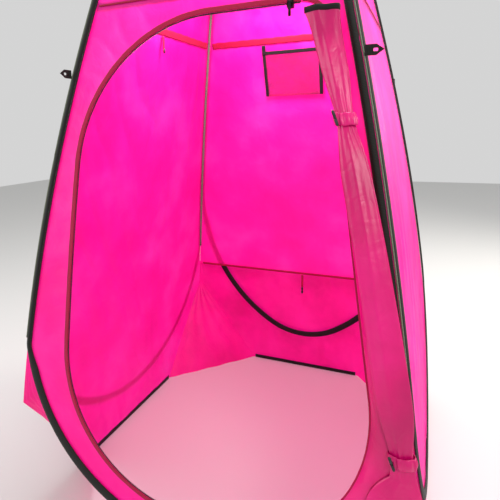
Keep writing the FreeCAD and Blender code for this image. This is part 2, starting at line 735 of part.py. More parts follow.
def zip_slider(name, seat, flip):
    """Slider that straddles the coil, open towards the zip tape; flip turns it upside down."""
    local = seat.multiply(Placement(Vector(), Rotation(Vector(0, 1, 0), 180 if flip else 0)))
    length = "dims.slider_length"
    start = -dim("slider_length") / 2
    outer_plate = cell_box(f"{name}_outer", (length, "1.8", "15"), Vector(start, -5.4, -11), local)
    inner_plate = cell_box(f"{name}_inner", (length, "1.8", "15"), Vector(start, 2.4, -11), local)
    bridge = cell_box(f"{name}_bridge", (length, "9.6", "5"), Vector(start, -5.4, -11), local)
    cheek_tip = PIN_OUT + 2.2
    cheeks = [cell_box(f"{name}_cheek_{n}", ("1.6", f"{cheek_tip - CHEEK_FROM}", "5"),
                       Vector(x, -cheek_tip, -4.5), local) for n, x in enumerate((-5.2, 3.6))]
    pin = doc.addObject("Part::Cylinder", f"{name}_pin")
    pin.setExpression("Radius", "0.9")
    pin.setExpression("Height", "8.8")
    pin.Placement = local.multiply(Placement(Vector(-4.4, -PIN_OUT, -PIN_DOWN), Rotation(Vector(0, 1, 0), 90)))
    return keep(name, union(name, [outer_plate, inner_plate, bridge, pin] + cheeks))


def pull_tab(name, seat, drop):
    """Flat tab hanging from the slider's pin."""
    width = dim("pull_width")
    plate = cell_box(f"{name}_plate", ("dims.pull_width", "1.8", "dims.pull_length"),
                     Vector(-width / 2, -0.9, -dim("pull_length") + 2.4), drop)
    barrel = doc.addObject("Part::Cylinder", f"{name}_barrel")
    barrel.setExpression("Radius", "2.2")
    barrel.setExpression("Height", "dims.pull_width")
    barrel.Placement = drop.multiply(Placement(Vector(-width / 2, 0, 0), Rotation(Vector(0, 1, 0), 90)))
    eye = doc.addObject("Part::Cylinder", f"{name}_eye")
    eye.setExpression("Radius", "1.2")
    eye.setExpression("Height", "dims.pull_width + 4")
    eye.Placement = drop.multiply(Placement(Vector(-width / 2 - 2, 0, 0), Rotation(Vector(0, 1, 0), 90)))
    return keep(name, solid_cut(name, union(f"{name}_blank", [plate, barrel]), eye))


for word, u, z, flip in (("top", dim("door_corner_x") - 20, dim("door_top"), False),
                         ("bottom", dim("door_right_x") - 12, dim("door_bottom"), True)):
    seat = on_wall("front", u, z)
    zip_slider(f"zip_slider_{word}", seat, flip)
    pin_at = seat.multVec(Vector(0, -PIN_OUT, PIN_DOWN if flip else -PIN_DOWN))
    pull_tab(f"zip_pull_{word}", seat, Placement(pin_at, Rotation()))

# ---------------------------------------------------------------- mesh pocket on the back wall
left, right = dim("pocket_left"), dim("pocket_right")
low_z, mouth = dim("pocket_bottom"), dim("pocket_mouth")
depth = f"-{HALF_FABRIC} - dims.pocket_depth"
mesh = panel("pocket_mesh", f"{depth} - 1.2", f"{depth} - 0.2",
             [((left, low_z), (right, low_z)), ((right, low_z), (right, mouth)),
              ((right, mouth), (left, mouth)), ((left, mouth), (left, low_z))])
mesh.Placement = turned("back")
keep("pocket_mesh", mesh)
tape_w = dim("pocket_tape")
u_frame = [(left, low_z), (right, low_z), (right, seam - 14), (right - tape_w, seam - 14),
           (right - tape_w, low_z + 6), (left + tape_w, low_z + 6), (left + tape_w, seam - 14),
           (left, seam - 14)]
side_tape = panel("pocket_side_tape", depth, IN_NEAR, list(zip(u_frame, u_frame[1:] + u_frame[:1])))
side_tape.Placement = turned("back")
keep("pocket_side_tape", side_tape)
mouth_tape = panel("pocket_mouth_tape", f"{depth} - 2.8", f"{depth} - 1.4",
                   [((left, mouth - tape_w), (right, mouth - tape_w)), ((right, mouth - tape_w), (right, mouth)),
                    ((right, mouth), (left, mouth)), ((left, mouth), (left, mouth - tape_w))])
mouth_tape.Placement = turned("back")
keep("pocket_mouth_tape", mouth_tape)


# ---------------------------------------------------------------- loops and tabs
def pointed_loop(name, length, width, placement):
    """Folded webbing loop with a pointed tip and an eye, lying in the local XZ plane."""
    body = doc.addObject("PartDesign::Body", name)
    sketch = add_sketch(body, f"{name}_sketch", "XZ_Plane")
    size, across = dim(length), dim(width)
    shoulder = size * 0.6
    outline = [(0, -across / 2), (shoulder, -across / 2), (size, 0), (shoulder, across / 2), (0, across / 2)]
    add_loop(sketch, list(zip(outline, outline[1:] + outline[:1])))
    eye_near, eye_far, eye_half = size * 0.42, size * 0.72, across * 0.21
    eye_path = [(eye_near, -eye_half), (eye_far, -eye_half), (eye_far, eye_half), (eye_near, eye_half)]
    add_loop(sketch, list(zip(eye_path, eye_path[1:] + eye_path[:1])))
    pad = body.newObject("PartDesign::Pad", f"{name}_pad")
    pad.Profile = sketch
    pad.SideType = "Symmetric"
    pad.setExpression("Length", "dims.web_thick")
    body.Placement = placement
    doc.recompute()
    return body


def grouped(name, members):
    """Several separate solids of one kind kept as one node."""
    doc.recompute()
    return keep(name, feature(name, Part.makeCompound([member.Shape for member in members])))


guy_z = dim("guy_height")
guys, pegs = [], []
for corner, (sx, sy) in CORNERS.items():
    heading = SIDES[CORNER_SIDES[corner]]
    at = half(guy_z - dim("guy_width") / 2) + 3.5
    guys.append(pointed_loop(f"guy_{corner}", "guy_length", "guy_width",
                             Placement(Vector(sx * at, sy * at, guy_z), Rotation(Vector(0, 0, 1), heading))))
    if sy < 0:
        heading = 0 if sx > 0 else 180
        foot = Vector(sx * (half(0) - 14), -hem_half - 30, dim("peg_width") / 2)
    else:
        cut_corner = (half(0) + hem_half) / 2 + 18
        foot = Vector(sx * cut_corner, cut_corner, dim("peg_width") / 2)
    pegs.append(pointed_loop(f"peg_{corner}", "peg_length", "peg_width",
                             Placement(foot, Rotation(Vector(0, 0, 1), heading))))
grouped("guy_loops", guys)
grouped("peg_loops", pegs)


def hanging_tab(name, length, side, u, z, stand_off):
    """Short strap that hangs plumb from a seam inside the tent; returns where it is sewn on."""
    sewn = Placement(on_wall(side, u, z).multVec(Vector(0, stand_off, 0)), turned(side).Rotation)
    corner = Vector(-dim("tab_width") / 2, 0, -dim_of(length))
    keep(name, cell_box(name, ("dims.tab_width", "2", length), corner, sewn))
    return sewn


tab_off = dim("fabric_thick") / 2 + 2 * dim("tape_gap") + dim("tape_thick") + 0.8
hanging_tab("side_tab", "dims.left_tab_length", "left", 0, seam - 14, tab_off)
back_seat = hanging_tab("back_tab", "dims.back_tab_length", "back", -10, dim("skirt_seam") - 4, tab_off)
toggle = doc.addObject("Part::Cylinder", "back_tab_toggle")
toggle.setExpression("Radius", "5")
toggle.setExpression("Height", "34")
toggle.Placement = back_seat.multiply(
    Placement(Vector(0, 1, -dim("back_tab_length") - 35), Rotation()))
keep("back_tab_toggle", toggle)

# ---------------------------------------------------------------- checks and export
doc.recompute()
for obj in doc.Objects:
    if any(word in obj.State for word in ("Invalid", "Error")):
        raise RuntimeError(f"{obj.Label} failed: {obj.State}")
os.makedirs("parts", exist_ok=True)
for name, obj in NODES.items():
    shape = obj.Shape
    if shape.isNull() or not shape.isValid() or not shape.Solids:
        raise RuntimeError(f"{name} has no valid solid")
    shape.exportStep(f"parts/{name}.step")
    box = shape.BoundBox
    print(f"{name}: {len(shape.Solids)} solid(s), {shape.Volume / 1000:.1f} cm3, "
          f"x {box.XMin:.0f}..{box.XMax:.0f}, y {box.YMin:.0f}..{box.YMax:.0f}, z {box.ZMin:.0f}..{box.ZMax:.0f}")
print(len(NODES), "nodes")
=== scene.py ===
"""Pop-up changing tent: cloth, webbing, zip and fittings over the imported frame. Metres, Z up."""
import math

import bmesh
import bpy
import numpy as np
from mathutils import Matrix, Vector, noise


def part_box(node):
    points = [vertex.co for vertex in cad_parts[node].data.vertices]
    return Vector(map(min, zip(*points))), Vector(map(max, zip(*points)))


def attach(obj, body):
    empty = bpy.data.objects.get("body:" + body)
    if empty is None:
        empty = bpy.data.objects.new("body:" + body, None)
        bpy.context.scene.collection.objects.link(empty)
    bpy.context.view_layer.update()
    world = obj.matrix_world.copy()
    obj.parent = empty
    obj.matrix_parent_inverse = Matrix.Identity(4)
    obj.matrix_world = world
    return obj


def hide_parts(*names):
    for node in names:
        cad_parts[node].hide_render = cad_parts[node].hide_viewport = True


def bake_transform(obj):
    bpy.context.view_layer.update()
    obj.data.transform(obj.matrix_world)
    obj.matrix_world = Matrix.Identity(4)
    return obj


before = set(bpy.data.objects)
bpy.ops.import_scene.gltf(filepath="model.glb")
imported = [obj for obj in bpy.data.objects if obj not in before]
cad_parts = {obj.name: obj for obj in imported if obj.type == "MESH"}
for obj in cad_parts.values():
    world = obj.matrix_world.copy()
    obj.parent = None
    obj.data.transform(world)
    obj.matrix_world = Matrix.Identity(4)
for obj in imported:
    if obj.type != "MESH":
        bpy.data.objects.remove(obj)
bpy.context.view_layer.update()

# ---- the tent's own lines, as in the part
R, OUT, DROP = 8.720, 8.048, 0.764      # bowed walls: radius, and centre beyond the axis and below the floor
SEAM, CROWN = 1.600, 1.890              # roof seam and hoop top
CROWN_R, SHOULDER_R = 0.620, 0.170
INSET = 0.0005                          # cloth stops this far inside the corner line
GAP = 0.0005                            # corner cloth stops this far inside the corner line
HEM_HALF, GUSSET_TOP, GUSSET_FOOT = 0.290, 0.450, 0.250
HEM_END = 0.293                         # where a wall's hem meets the gusset
SKIRT_SEAM, SKIRT_OUT = 0.565, 0.0103
SLEEVE, CORNER_SLEEVE = 0.030, 0.0185   # sleeve width along the arcs and along the corners
LOW = {"low": (0.660, 0.560, 0.152), "back": (1.000, 0.330, 0.195)}
DOOR_CIRCLES = [(0.100, 0.625, 0.370), (0.245, 1.475, 0.070), (0.020, 1.163, 0.382), (0.0, 0.650, 0.395)]
TIES = (1.290, 0.600)
BUNDLE_TOP, BUNDLE_FOOT = 1.512, 0.258
SIDES = {"front": 0, "right": 90, "back": 180, "left": 270}
CORNERS = {"front_right": 0, "back_right": 90, "back_left": 180, "front_left": 270}


def half(z):
    """Half width of the tent at height z."""
    return math.sqrt(R * R - (z + DROP) ** 2) - OUT


def turn(point, degrees):
    a = math.radians(degrees)
    x, y, z = point
    return Vector((x * math.cos(a) - y * math.sin(a), x * math.sin(a) + y * math.cos(a), z))


def at(side, u, z, out=0.0):
    """Point of a wall at u across and z up, moved out along the wall's normal."""
    sine = (z + DROP) / R
    cosine = math.sqrt(1 - sine * sine)
    return turn((u, OUT - (R + out) * cosine, z + out * sine), SIDES[side])


def smooth(x, low, high):
    t = min(1.0, max(0.0, (x - low) / (high - low)))
    return t * t * (3 - 2 * t)


def arc_points(centre, radius, start, end, steps):
    """Points along the short arc between two directions from the centre."""
    a = math.atan2(start[1] - centre[1], start[0] - centre[0])
    b = math.atan2(end[1] - centre[1], end[0] - centre[0])
    b = a + (b - a + math.pi) % (2 * math.pi) - math.pi
    return [(centre[0] + radius * math.cos(a + (b - a) * i / steps),
             centre[1] + radius * math.sin(a + (b - a) * i / steps)) for i in range(steps + 1)]


def towards(centre, radius, point):
    dx, dz = point[0] - centre[0], point[1] - centre[1]
    size = math.hypot(dx, dz)
    return (centre[0] + radius * dx / size, centre[1] + radius * dz / size)


def hoop_half(low, inset, steps=26):
    """Right half of a hoop line from its foot to its crown, moved inwards."""
    leave, radius, bottom = LOW[low]
    side, foot, start = (-OUT, -DROP), (0.0, bottom + radius), (half(leave), leave)
    inward = ((side[0] - start[0]) / R, (side[1] - start[1]) / R)
    dx, dz = start[0], start[1] - foot[1]
    flank_r = (radius ** 2 - dx ** 2 - dz ** 2) / (2 * (dx * inward[0] + dz * inward[1] + radius))
    flank = (start[0] + inward[0] * flank_r, start[1] + inward[1] * flank_r)
    crown = (0.0, CROWN - CROWN_R)
    gx, gz = crown[0] - side[0], crown[1] - side[1]
    gap, first, second = math.hypot(gx, gz), R - SHOULDER_R, CROWN_R - SHOULDER_R
    along = (first ** 2 - second ** 2 + gap ** 2) / (2 * gap)
    across = math.sqrt(first ** 2 - along ** 2)
    shoulder = (side[0] + along * gx / gap - across * gz / gap,
                side[1] + along * gz / gap + across * gx / gap)
    away = -1 if flank_r > radius else 1
    joint = towards(foot, radius - inset, (away * flank[0], foot[1] + away * (flank[1] - foot[1])))
    leave_at = towards(side, R - inset, start)
    spring = towards(side, R - inset, shoulder)
    haunch = towards(crown, CROWN_R - inset, shoulder)
    path = arc_points(foot, radius - inset, (0, bottom), joint, steps)
    path += arc_points(flank, flank_r - inset, joint, leave_at, steps)[1:]
    path += arc_points(side, R - inset, leave_at, spring, 2 * steps)[1:]
    path += arc_points(shoulder, SHOULDER_R - inset, spring, haunch, steps)[1:]
    path += arc_points(crown, CROWN_R - inset, haunch, (0, CROWN), steps)[1:]
    return path


def closed_hoop(low, inset):
    right = hoop_half(low, inset)
    return right + [(-x, z) for x, z in reversed(right[1:-1])]


LOW_OF = {"front": "low", "right": "low", "back": "back", "left": "low"}
MIDLINES = {low: np.array(closed_hoop(low, 0.014)) for low in LOW}


def clear_of_hoop(side, u, z):
    """0 under a hoop's sleeve, 1 well away from it."""
    line = MIDLINES[LOW_OF[side]]
    gap = math.sqrt(float(np.min((line[:, 0] - u) ** 2 + (line[:, 1] - z) ** 2)))
    return smooth(gap, 0.016, 0.075)


def off_pocket(side, u, z):
    """0 behind the pocket, whose tapes hold the cloth flat, 1 away from it."""
    return smooth(max(abs(u + 0.0125) - 0.12, abs(z - 1.49) - 0.11), 0.0, 0.06) if side == "back" else 1.0


def under_sleeve(side, u, z, value):
    """Wrinkle depth kept behind the sleeve: mostly inwards, and nearly flat beneath it."""
    value -= 0.0035
    if value > 0:
        value *= 0.2
    return min(0.0012, value) * (0.2 + 0.8 * clear_of_hoop(side, u, z)) * off_pocket(side, u, z)


def door_line(grow, step=0.006):
    """Door opening as a closed, evenly spaced line, counter-clockwise, grown outwards."""
    circles, ends = DOOR_CIRCLES, []
    for (x1, z1, r1), (x2, z2, r2) in zip(circles, circles[1:] + circles[:1]):
        gap, heading = math.hypot(x2 - x1, z2 - z1), math.atan2(z2 - z1, x2 - x1)
        normal = heading - math.acos((r1 - r2) / gap)
        ends.append([(x + (r + grow) * math.cos(normal), z + (r + grow) * math.sin(normal))
                     for x, z, r in ((x1, z1, r1), (x2, z2, r2))])
    path = []
    for index, (x, z, r) in enumerate(circles):
        arrive, leave = ends[index - 1][1], ends[index][0]
        first = math.atan2(arrive[1] - z, arrive[0] - x)
        arc = (math.atan2(leave[1] - z, leave[0] - x) - first) % (2 * math.pi)
        for angle in (first + arc * i / 40 for i in range(41)):
            path.append((x + (r + grow) * math.cos(angle), z + (r + grow) * math.sin(angle)))
    return resample(path, step, closed=True)


def resample(path, step, closed=False):
    """The same line with evenly spaced points."""
    points = [Vector(p) for p in path]
    if closed:
        points.append(points[0])
    lengths = [0.0]
    for a, b in zip(points, points[1:]):
        lengths.append(lengths[-1] + (b - a).length)
    count = max(2, round(lengths[-1] / step))
    out, k = [], 0
    for i in range(count if closed else count + 1):
        want = lengths[-1] * i / count
        while k < len(lengths) - 2 and lengths[k + 1] < want:
            k += 1
        span = lengths[k + 1] - lengths[k]
        t = 0 if span < 1e-9 else (want - lengths[k]) / span
        out.append(tuple(points[k].lerp(points[k + 1], t)))
    return out


# ---- materials
def new_material(name):
    m = bpy.data.materials.new(name)
    m.use_nodes = True
    tree = m.node_tree
    tree.nodes.clear()
    out = tree.nodes.new("ShaderNodeOutputMaterial")
    shader = tree.nodes.new("ShaderNodeBsdfPrincipled")
    tree.links.new(shader.outputs[0], out.inputs[0])
    return m, tree, shader, out


def set_inputs(node, **values):
    """Set inputs by name; an underscore stands for a space."""
    for name, value in values.items():
        node.inputs[name.replace("_", " ")].default_value = value


def link_inputs(tree, node, **sources):
    """Link inputs by name; an underscore stands for a space."""
    for name, source in sources.items():
        tree.links.new(source, node.inputs[name.replace("_", " ")])


def add_node(tree, kind, source=None, into="Vector", **values):
    """New shader node with inputs set, and one input linked from another node's output."""
    node = tree.nodes.new("ShaderNode" + kind)
    set_inputs(node, **values)
    if source is not None:
        tree.links.new(source, node.inputs[into])
    return node


def colour_of(text):
    """Linear colour from a display hex colour."""
    values = [int(text[k:k + 2], 16) / 255 for k in (0, 2, 4)]
    return tuple(v / 12.92 if v <= 0.04045 else ((v + 0.055) / 1.055) ** 2.4 for v in values) + (1.0,)


def ramp(tree, source, stops):
    """Colour ramp driven by a node's output."""
    r = add_node(tree, "ValToRGB", source, 0)
    r.color_ramp.elements[0].position, r.color_ramp.elements[0].color = stops[0]
    r.color_ramp.elements[1].position, r.color_ramp.elements[1].color = stops[-1]
    for position, colour in stops[1:-1]:
        r.color_ramp.elements.new(position).color = colour
    return r.outputs[0]


def object_place(tree):
    return tree.nodes.new("ShaderNodeTexCoord").outputs["Object"]


def tape_map(tree):
    uv = tree.nodes.new("ShaderNodeUVMap")
    uv.uv_map = "Tape"
    return uv.outputs[0]


def bump(tree, height, strength, distance):
    return add_node(tree, "Bump", height, "Height", Strength=strength, Distance=distance)


def spread(tree, source, low, high):
    """A node's output stretched between two values."""
    return add_node(tree, "MapRange", source, "Value", To_Min=low, To_Max=high).outputs[0]


def cloth_material(name, base, dark, light, glow=0.35, rough=0.5, sheen=0.3, coat=0.0):
    """Thin woven polyester: weave, faint creases, colour drifting a little, light coming through."""
    m, tree, shader, out = new_material(name)
    link, place = tree.links.new, object_place(tree)
    drift = add_node(tree, "TexNoise", place, Scale=5.0, Detail=4.0)
    tint = ramp(tree, drift.outputs["Fac"],
                [(0.30, colour_of(dark)), (0.50, colour_of(base)), (0.72, colour_of(light))])
    weave = add_node(tree, "TexNoise", place, Scale=900.0, Detail=1.0)
    crease = add_node(tree, "TexNoise", place, Scale=22.0, Detail=3.0, Distortion=1.2)
    coarse = bump(tree, crease.outputs["Fac"], 0.35, 0.006)
    fine = bump(tree, weave.outputs["Fac"], 0.12, 0.0006)
    link(coarse.outputs[0], fine.inputs["Normal"])
    gloss = spread(tree, crease.outputs["Fac"], rough - 0.06, rough + 0.08)
    link_inputs(tree, shader, Base_Color=tint, Roughness=gloss, Normal=fine.outputs[0])
    set_inputs(shader, Sheen_Weight=sheen, Sheen_Roughness=0.45, Sheen_Tint=colour_of(light),
               Specular_IOR_Level=0.45)
    if coat:
        set_inputs(shader, Coat_Weight=coat, Coat_Roughness=0.3)
    through = add_node(tree, "BsdfTranslucent", tint, "Color")
    link(fine.outputs[0], through.inputs["Normal"])
    mix = add_node(tree, "MixShader", shader.outputs[0], 1)
    mix.inputs[0].default_value = glow
    link(through.outputs[0], mix.inputs[2])
    link(mix.outputs[0], out.inputs[0])
    return m


def webbing_material(name, base, light, rib=0.0016, axis="X", rough=0.75):
    """Woven tape: ribs across its length from the piece's own tape map, with a fibrous speckle."""
    m, tree, shader, _ = new_material(name)
    wave = add_node(tree, "TexWave", tape_map(tree), Scale=0.314 / rib / 2, Distortion=0.6, Detail=1.0,
                    Detail_Scale=1.0)
    wave.wave_type = "BANDS"
    wave.bands_direction = axis
    speck = add_node(tree, "TexNoise", object_place(tree), Scale=420.0, Detail=2.0)
    mixed = add_node(tree, "Math", wave.outputs["Fac"], 0)
    mixed.operation = "MULTIPLY"
    tree.links.new(speck.outputs["Fac"], mixed.inputs[1])
    ribs = bump(tree, mixed.outputs[0], 0.7, 0.0006)
    tint = ramp(tree, mixed.outputs[0], [(0.05, colour_of(base)), (0.75, colour_of(light))])
    link_inputs(tree, shader, Base_Color=tint, Normal=ribs.outputs[0])
    set_inputs(shader, Roughness=rough, Sheen_Weight=0.04, Sheen_Roughness=0.5, Specular_IOR_Level=0.3)
    return m


def solid_material(name, base, light, rough, metallic=0.0, scale=60.0):
    """Moulded plastic or painted metal: faint mottling, worn gloss and a little grain."""
    m, tree, shader, _ = new_material(name)
    mottle = add_node(tree, "TexNoise", object_place(tree), Scale=scale, Detail=5.0)
    gloss = spread(tree, mottle.outputs["Fac"], rough - 0.08, rough + 0.12)
    grain = bump(tree, mottle.outputs["Fac"], 0.3, 0.0002)
    tint = ramp(tree, mottle.outputs["Fac"], [(0.35, colour_of(base)), (0.75, colour_of(light))])
    link_inputs(tree, shader, Base_Color=tint, Roughness=gloss, Normal=grain.outputs[0])
    set_inputs(shader, Metallic=metallic)
    return m


def mesh_material(name, base, dark):
    """Knitted mesh: pink yarn in a fine grid with holes between."""
    m, tree, shader, out = new_material(name)
    holes = add_node(tree, "TexVoronoi", tape_map(tree), Scale=360.0, Randomness=0.15)
    yarn = ramp(tree, holes.outputs["Distance"], [(0.30, (0, 0, 0, 1)), (0.44, (1, 1, 1, 1))])
    drift = add_node(tree, "TexNoise", object_place(tree), Scale=30.0)
    tint = ramp(tree, drift.outputs["Fac"], [(0.3, colour_of(dark)), (0.7, colour_of(base))])
    link_inputs(tree, shader, Base_Color=tint)
    set_inputs(shader, Roughness=0.6)
    clear = tree.nodes.new("ShaderNodeBsdfTransparent")
    mix = add_node(tree, "MixShader", yarn, 0)
    tree.links.new(clear.outputs[0], mix.inputs[1])
    tree.links.new(shader.outputs[0], mix.inputs[2])
    tree.links.new(mix.outputs[0], out.inputs[0])
    return m


PINK = cloth_material("polyester_pink", "ff18a8", "f40d9a", "ff33b8", glow=0.38, rough=0.5, sheen=0.1)
DEEP = cloth_material("polyester_deep", "f00a90", "dd067f", "fb1a9f", glow=0.32, rough=0.52, sheen=0.1)
SATIN = cloth_material("satin_pink", "dc0070", "c20062", "f00884", glow=0.12, rough=0.30, sheen=0.1,
                       coat=0.15)
BLACK_WEB = webbing_material("webbing_black", "0a0a09", "262723")
BLACK_TAPE = webbing_material("tape_black", "090909", "20201d", rib=0.0011, axis="Y")
RED_TAPE = webbing_material("tape_red", "85002c", "d40a52", rib=0.0012, axis="Y", rough=0.7)
# grey-green tape colour: a painted highlight, standing in for light caught along the corner gap between the
# black sleeves
SEAM_HIGHLIGHT_GREY = webbing_material("painted_highlight_grey", "59604f", "959d8b", rib=0.0014)
MESH = mesh_material("mesh_pink", "b30a62", "7d0744")
COIL = solid_material("coil_black", "101012", "2a2a2d", 0.35)
PLASTIC = solid_material("plastic_black", "141416", "2d2d30", 0.4)
METAL = solid_material("metal_black", "17171a", "3c3c40", 0.35, metallic=0.9)
SPRING = solid_material("spring_steel", "6f7276", "a6a9ad", 0.32, metallic=1.0, scale=140)
FERRULE = solid_material("ferrule_steel", "8b8e92", "c2c5c8", 0.3, metallic=1.0, scale=90)


# ---- mesh helpers
def make_object(name, verts, faces, material, uvs=None, smooth_shade=True):
    mesh = bpy.data.meshes.new(name)
    mesh.from_pydata([tuple(v) for v in verts], [], faces)
    mesh.validate()
    mesh.update()
    if uvs is not None:
        layer = mesh.uv_layers.new(name="Tape")
        for loop in mesh.loops:
            layer.data[loop.index].uv = uvs[loop.vertex_index]
    for poly in mesh.polygons:
        poly.use_smooth = smooth_shade
    mesh.materials.append(material)
    obj = bpy.data.objects.new(name, mesh)
    bpy.context.scene.collection.objects.link(obj)
    return obj


def grid_faces(rows, columns, wrap=False):
    """Quads of a grid whose points run along each row."""
    faces = []
    last = columns if wrap else columns - 1
    for i in range(rows - 1):
        for j in range(last):
            k = (j + 1) % columns
            faces.append((i * columns + j, i * columns + k, (i + 1) * columns + k, (i + 1) * columns + j))
    return faces


def tube_faces(rows, rim, closed=False):
    """Faces of a tube of rings, with its ends joined to each other or each capped."""
    faces, last = grid_faces(rows, rim, wrap=True), (rows - 1) * rim
    if closed:
        return faces + [(last + j, last + (j + 1) % rim, (j + 1) % rim, j) for j in range(rim)]
    return faces + [tuple(range(rim - 1, -1, -1)), tuple(last + j for j in range(rim))]


def face_outwards(obj):
    bm = bmesh.new()
    bm.from_mesh(obj.data)
    bmesh.ops.recalc_face_normals(bm, faces=bm.faces)
    bm.to_mesh(obj.data)
    bm.free()


def thicken(obj, thickness, offset):
    """Give a sheet a thickness, applied to its mesh."""
    solid = obj.modifiers.new("thickness", "SOLIDIFY")
    solid.thickness = thickness
    solid.offset = offset
    bpy.context.view_layer.objects.active = obj
    bpy.ops.object.modifier_apply(modifier="thickness")


def fbm(x, y, z=0.0, octaves=3):
    return noise.fractal(Vector((x, y, z)), 1.0, 2.0, octaves)


def ridge(value):
    """Sharp crest, soft valley, from a smooth wave between -1 and 1."""
    return (1 - abs(value)) ** 2


def finish_piece(obj, *nodes, body="shell"):
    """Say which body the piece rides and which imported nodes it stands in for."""
    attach(obj, body)
    if nodes:
        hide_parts(*nodes)
    return obj


# ---- wrinkles of each panel, in metres out of the wall
def wrinkle_front(u, z):
    """Loose cloth round the door: soft creases fanning out from the hoop towards the opening."""
    warp = fbm(u * 2.2, z * 2.2, 3.0)
    radial = math.atan2(z - 0.9, u)
    fan = math.sin(radial * 23 + 3.5 * warp) * 0.5 + math.sin(radial * 41 - 5 * warp + 2) * 0.25
    slant = math.sin((u * 0.75 + z) * 38 + 6 * warp)
    upper = smooth(z, 0.9, 1.45)
    return 0.0028 * fan * (1 - 0.6 * upper) + 0.0045 * (ridge(slant) - 0.4) * upper + 0.006 * warp


def wrinkle_side(u, z, seed=0.0):
    """Hanging cloth: long upright folds that fade in the middle of the wall."""
    warp = fbm(u * 1.6 + seed, z * 0.9, seed)
    folds = math.sin(u * 46 + 7 * warp + 2 * math.sin(z * 2.2 + seed)) * (0.4 + 0.6 * abs(u) / 0.55)
    minor = math.sin(u * 95 - 9 * warp + seed) * 0.35
    band = fbm(u * 6 + seed, z * 1.1, 4 + seed, 2)
    slant = math.sin((u * 0.9 - z * 0.35) * 30 + 5 * warp + seed)
    return 0.0040 * folds * (0.5 + band) + 0.0014 * minor + 0.0040 * ridge(slant) + 0.0100 * warp


def wrinkle_back(u, z):
    """Flatter cloth, pulled down from the roof seam."""
    warp = fbm(u * 1.7 + 9, z * 1.2, 9.0)
    pull = math.sin(u * 31 + 5 * warp) * smooth(z, 0.6, 1.5)
    level = math.sin(z * 26 + 4 * warp + u * 5) * (1 - smooth(z, 0.6, 1.1))
    return 0.0018 * pull + 0.0016 * level + 0.007 * warp


def wrinkle_low(u, z, seed=0.0):
    warp = fbm(u * 3 + seed, z * 3, seed + 2)
    return 0.0028 * math.sin(u * 40 + 5 * warp + seed) + 0.005 * warp


# ---- structured wall panels
CALM = 0.045                            # a panel's wrinkles fade over this much beside its sewn edges


def wall_panel(name, side, rows, width_at, wrinkle, out, material, columns, node):
    """Sheet over a wall from rows of (z, half width), wrinkled away from its sewn edges."""
    verts, uvs, plain = [], [], []
    low, high = rows[0], rows[-1]
    for z in rows:
        w = width_at(z)
        for j in range(columns):
            s = 2 * j / (columns - 1) - 1
            u = w * s
            plain.append(at(side, u, z, out))
            from_side = w * (1 - abs(s))
            calm = smooth(from_side, 0, CALM) * smooth(min(z - low, high - z), -0.004, CALM)
            if out:
                verts.append(at(side, u, z, out + max(-0.0012, (wrinkle(u, z) + 0.003) * calm)))
            else:
                verts.append(at(side, u, z, under_sleeve(side, u, z, wrinkle(u, z)) * calm))
            uvs.append((u, z))
    obj = make_object(name, verts, grid_faces(len(rows), columns), material, uvs)
    w = 2 * max(width_at(z) for z in rows)
    return finish_piece(obj, node)


def even(low, high, step):
    count = max(2, round((high - low) / step))
    return [low + (high - low) * i / count for i in range(count + 1)]


def lower_width(z):
    """Half width of a wall with cut lower corners."""
    if z >= GUSSET_TOP:
        return half(z) - INSET
    return HEM_END + (half(GUSSET_TOP) - INSET - HEM_END) * z / GUSSET_TOP


hoop_upper = [(z, x) for x, z in hoop_half("low", INSET, 40) if z > 1.5]
upper_z, upper_x = [p[0] for p in hoop_upper], [p[1] for p in hoop_upper]


def gable_width(z):
    return float(np.interp(z, upper_z, upper_x))


STEP = 0.0085
for side, seed in (("left", 1.7), ("right", 5.3)):
    wall_panel(f"cloth_wall_{side}", side, even(0.0, SEAM, STEP), lower_width,
               lambda u, z, seed=seed: wrinkle_side(u, z, seed), 0.0, PINK, round(1.2 / STEP),
               f"wall_{side}")
wall_panel("cloth_wall_back", "back", even(SKIRT_SEAM, SEAM, STEP), lambda z: half(z) - INSET, wrinkle_back,
           0.0, PINK, round(1.15 / STEP), "wall_back")
wall_panel("cloth_skirt", "back", even(0.0, SKIRT_SEAM + 0.012, STEP), lower_width,
           lambda u, z: wrinkle_low(u, z, 6.0), SKIRT_OUT, DEEP, round(1.2 / STEP),
           "back_skirt")

gable_low, gable_count = SEAM + 0.0005, 34
gable_rows = [gable_low + (CROWN - INSET - gable_low) * math.sin(math.pi / 2 * i / gable_count)
              for i in range(gable_count + 1)]
for side, seed in (("front", 2.2), ("right", 4.1), ("back", 6.6), ("left", 8.4)):
    wall_panel(f"cloth_gable_{side}", side, gable_rows, gable_width,
               lambda u, z, seed=seed: 0.6 * wrinkle_low(u, z, seed), 0.0, PINK, round(0.7 / STEP),
               f"gable_{side}")


# ---- front wall, a ring round the door
def crossing(outline, centre, angle):
    """Distance from the centre to a closed outline in one direction."""
    dx, dz = math.cos(angle), math.sin(angle)
    best = 0.0
    for (x1, z1), (x2, z2) in zip(outline, outline[1:] + outline[:1]):
        ex, ez = x2 - x1, z2 - z1
        det = dx * -ez + dz * ex
        if abs(det) < 1e-12:
            continue
        ox, oz = x1 - centre[0], z1 - centre[1]
        t = (ox * -ez + oz * ex) / det
        s = (dx * oz - dz * ox) / det
        if -1e-9 <= s <= 1 + 1e-9 and t > best:
            best = t
    return best


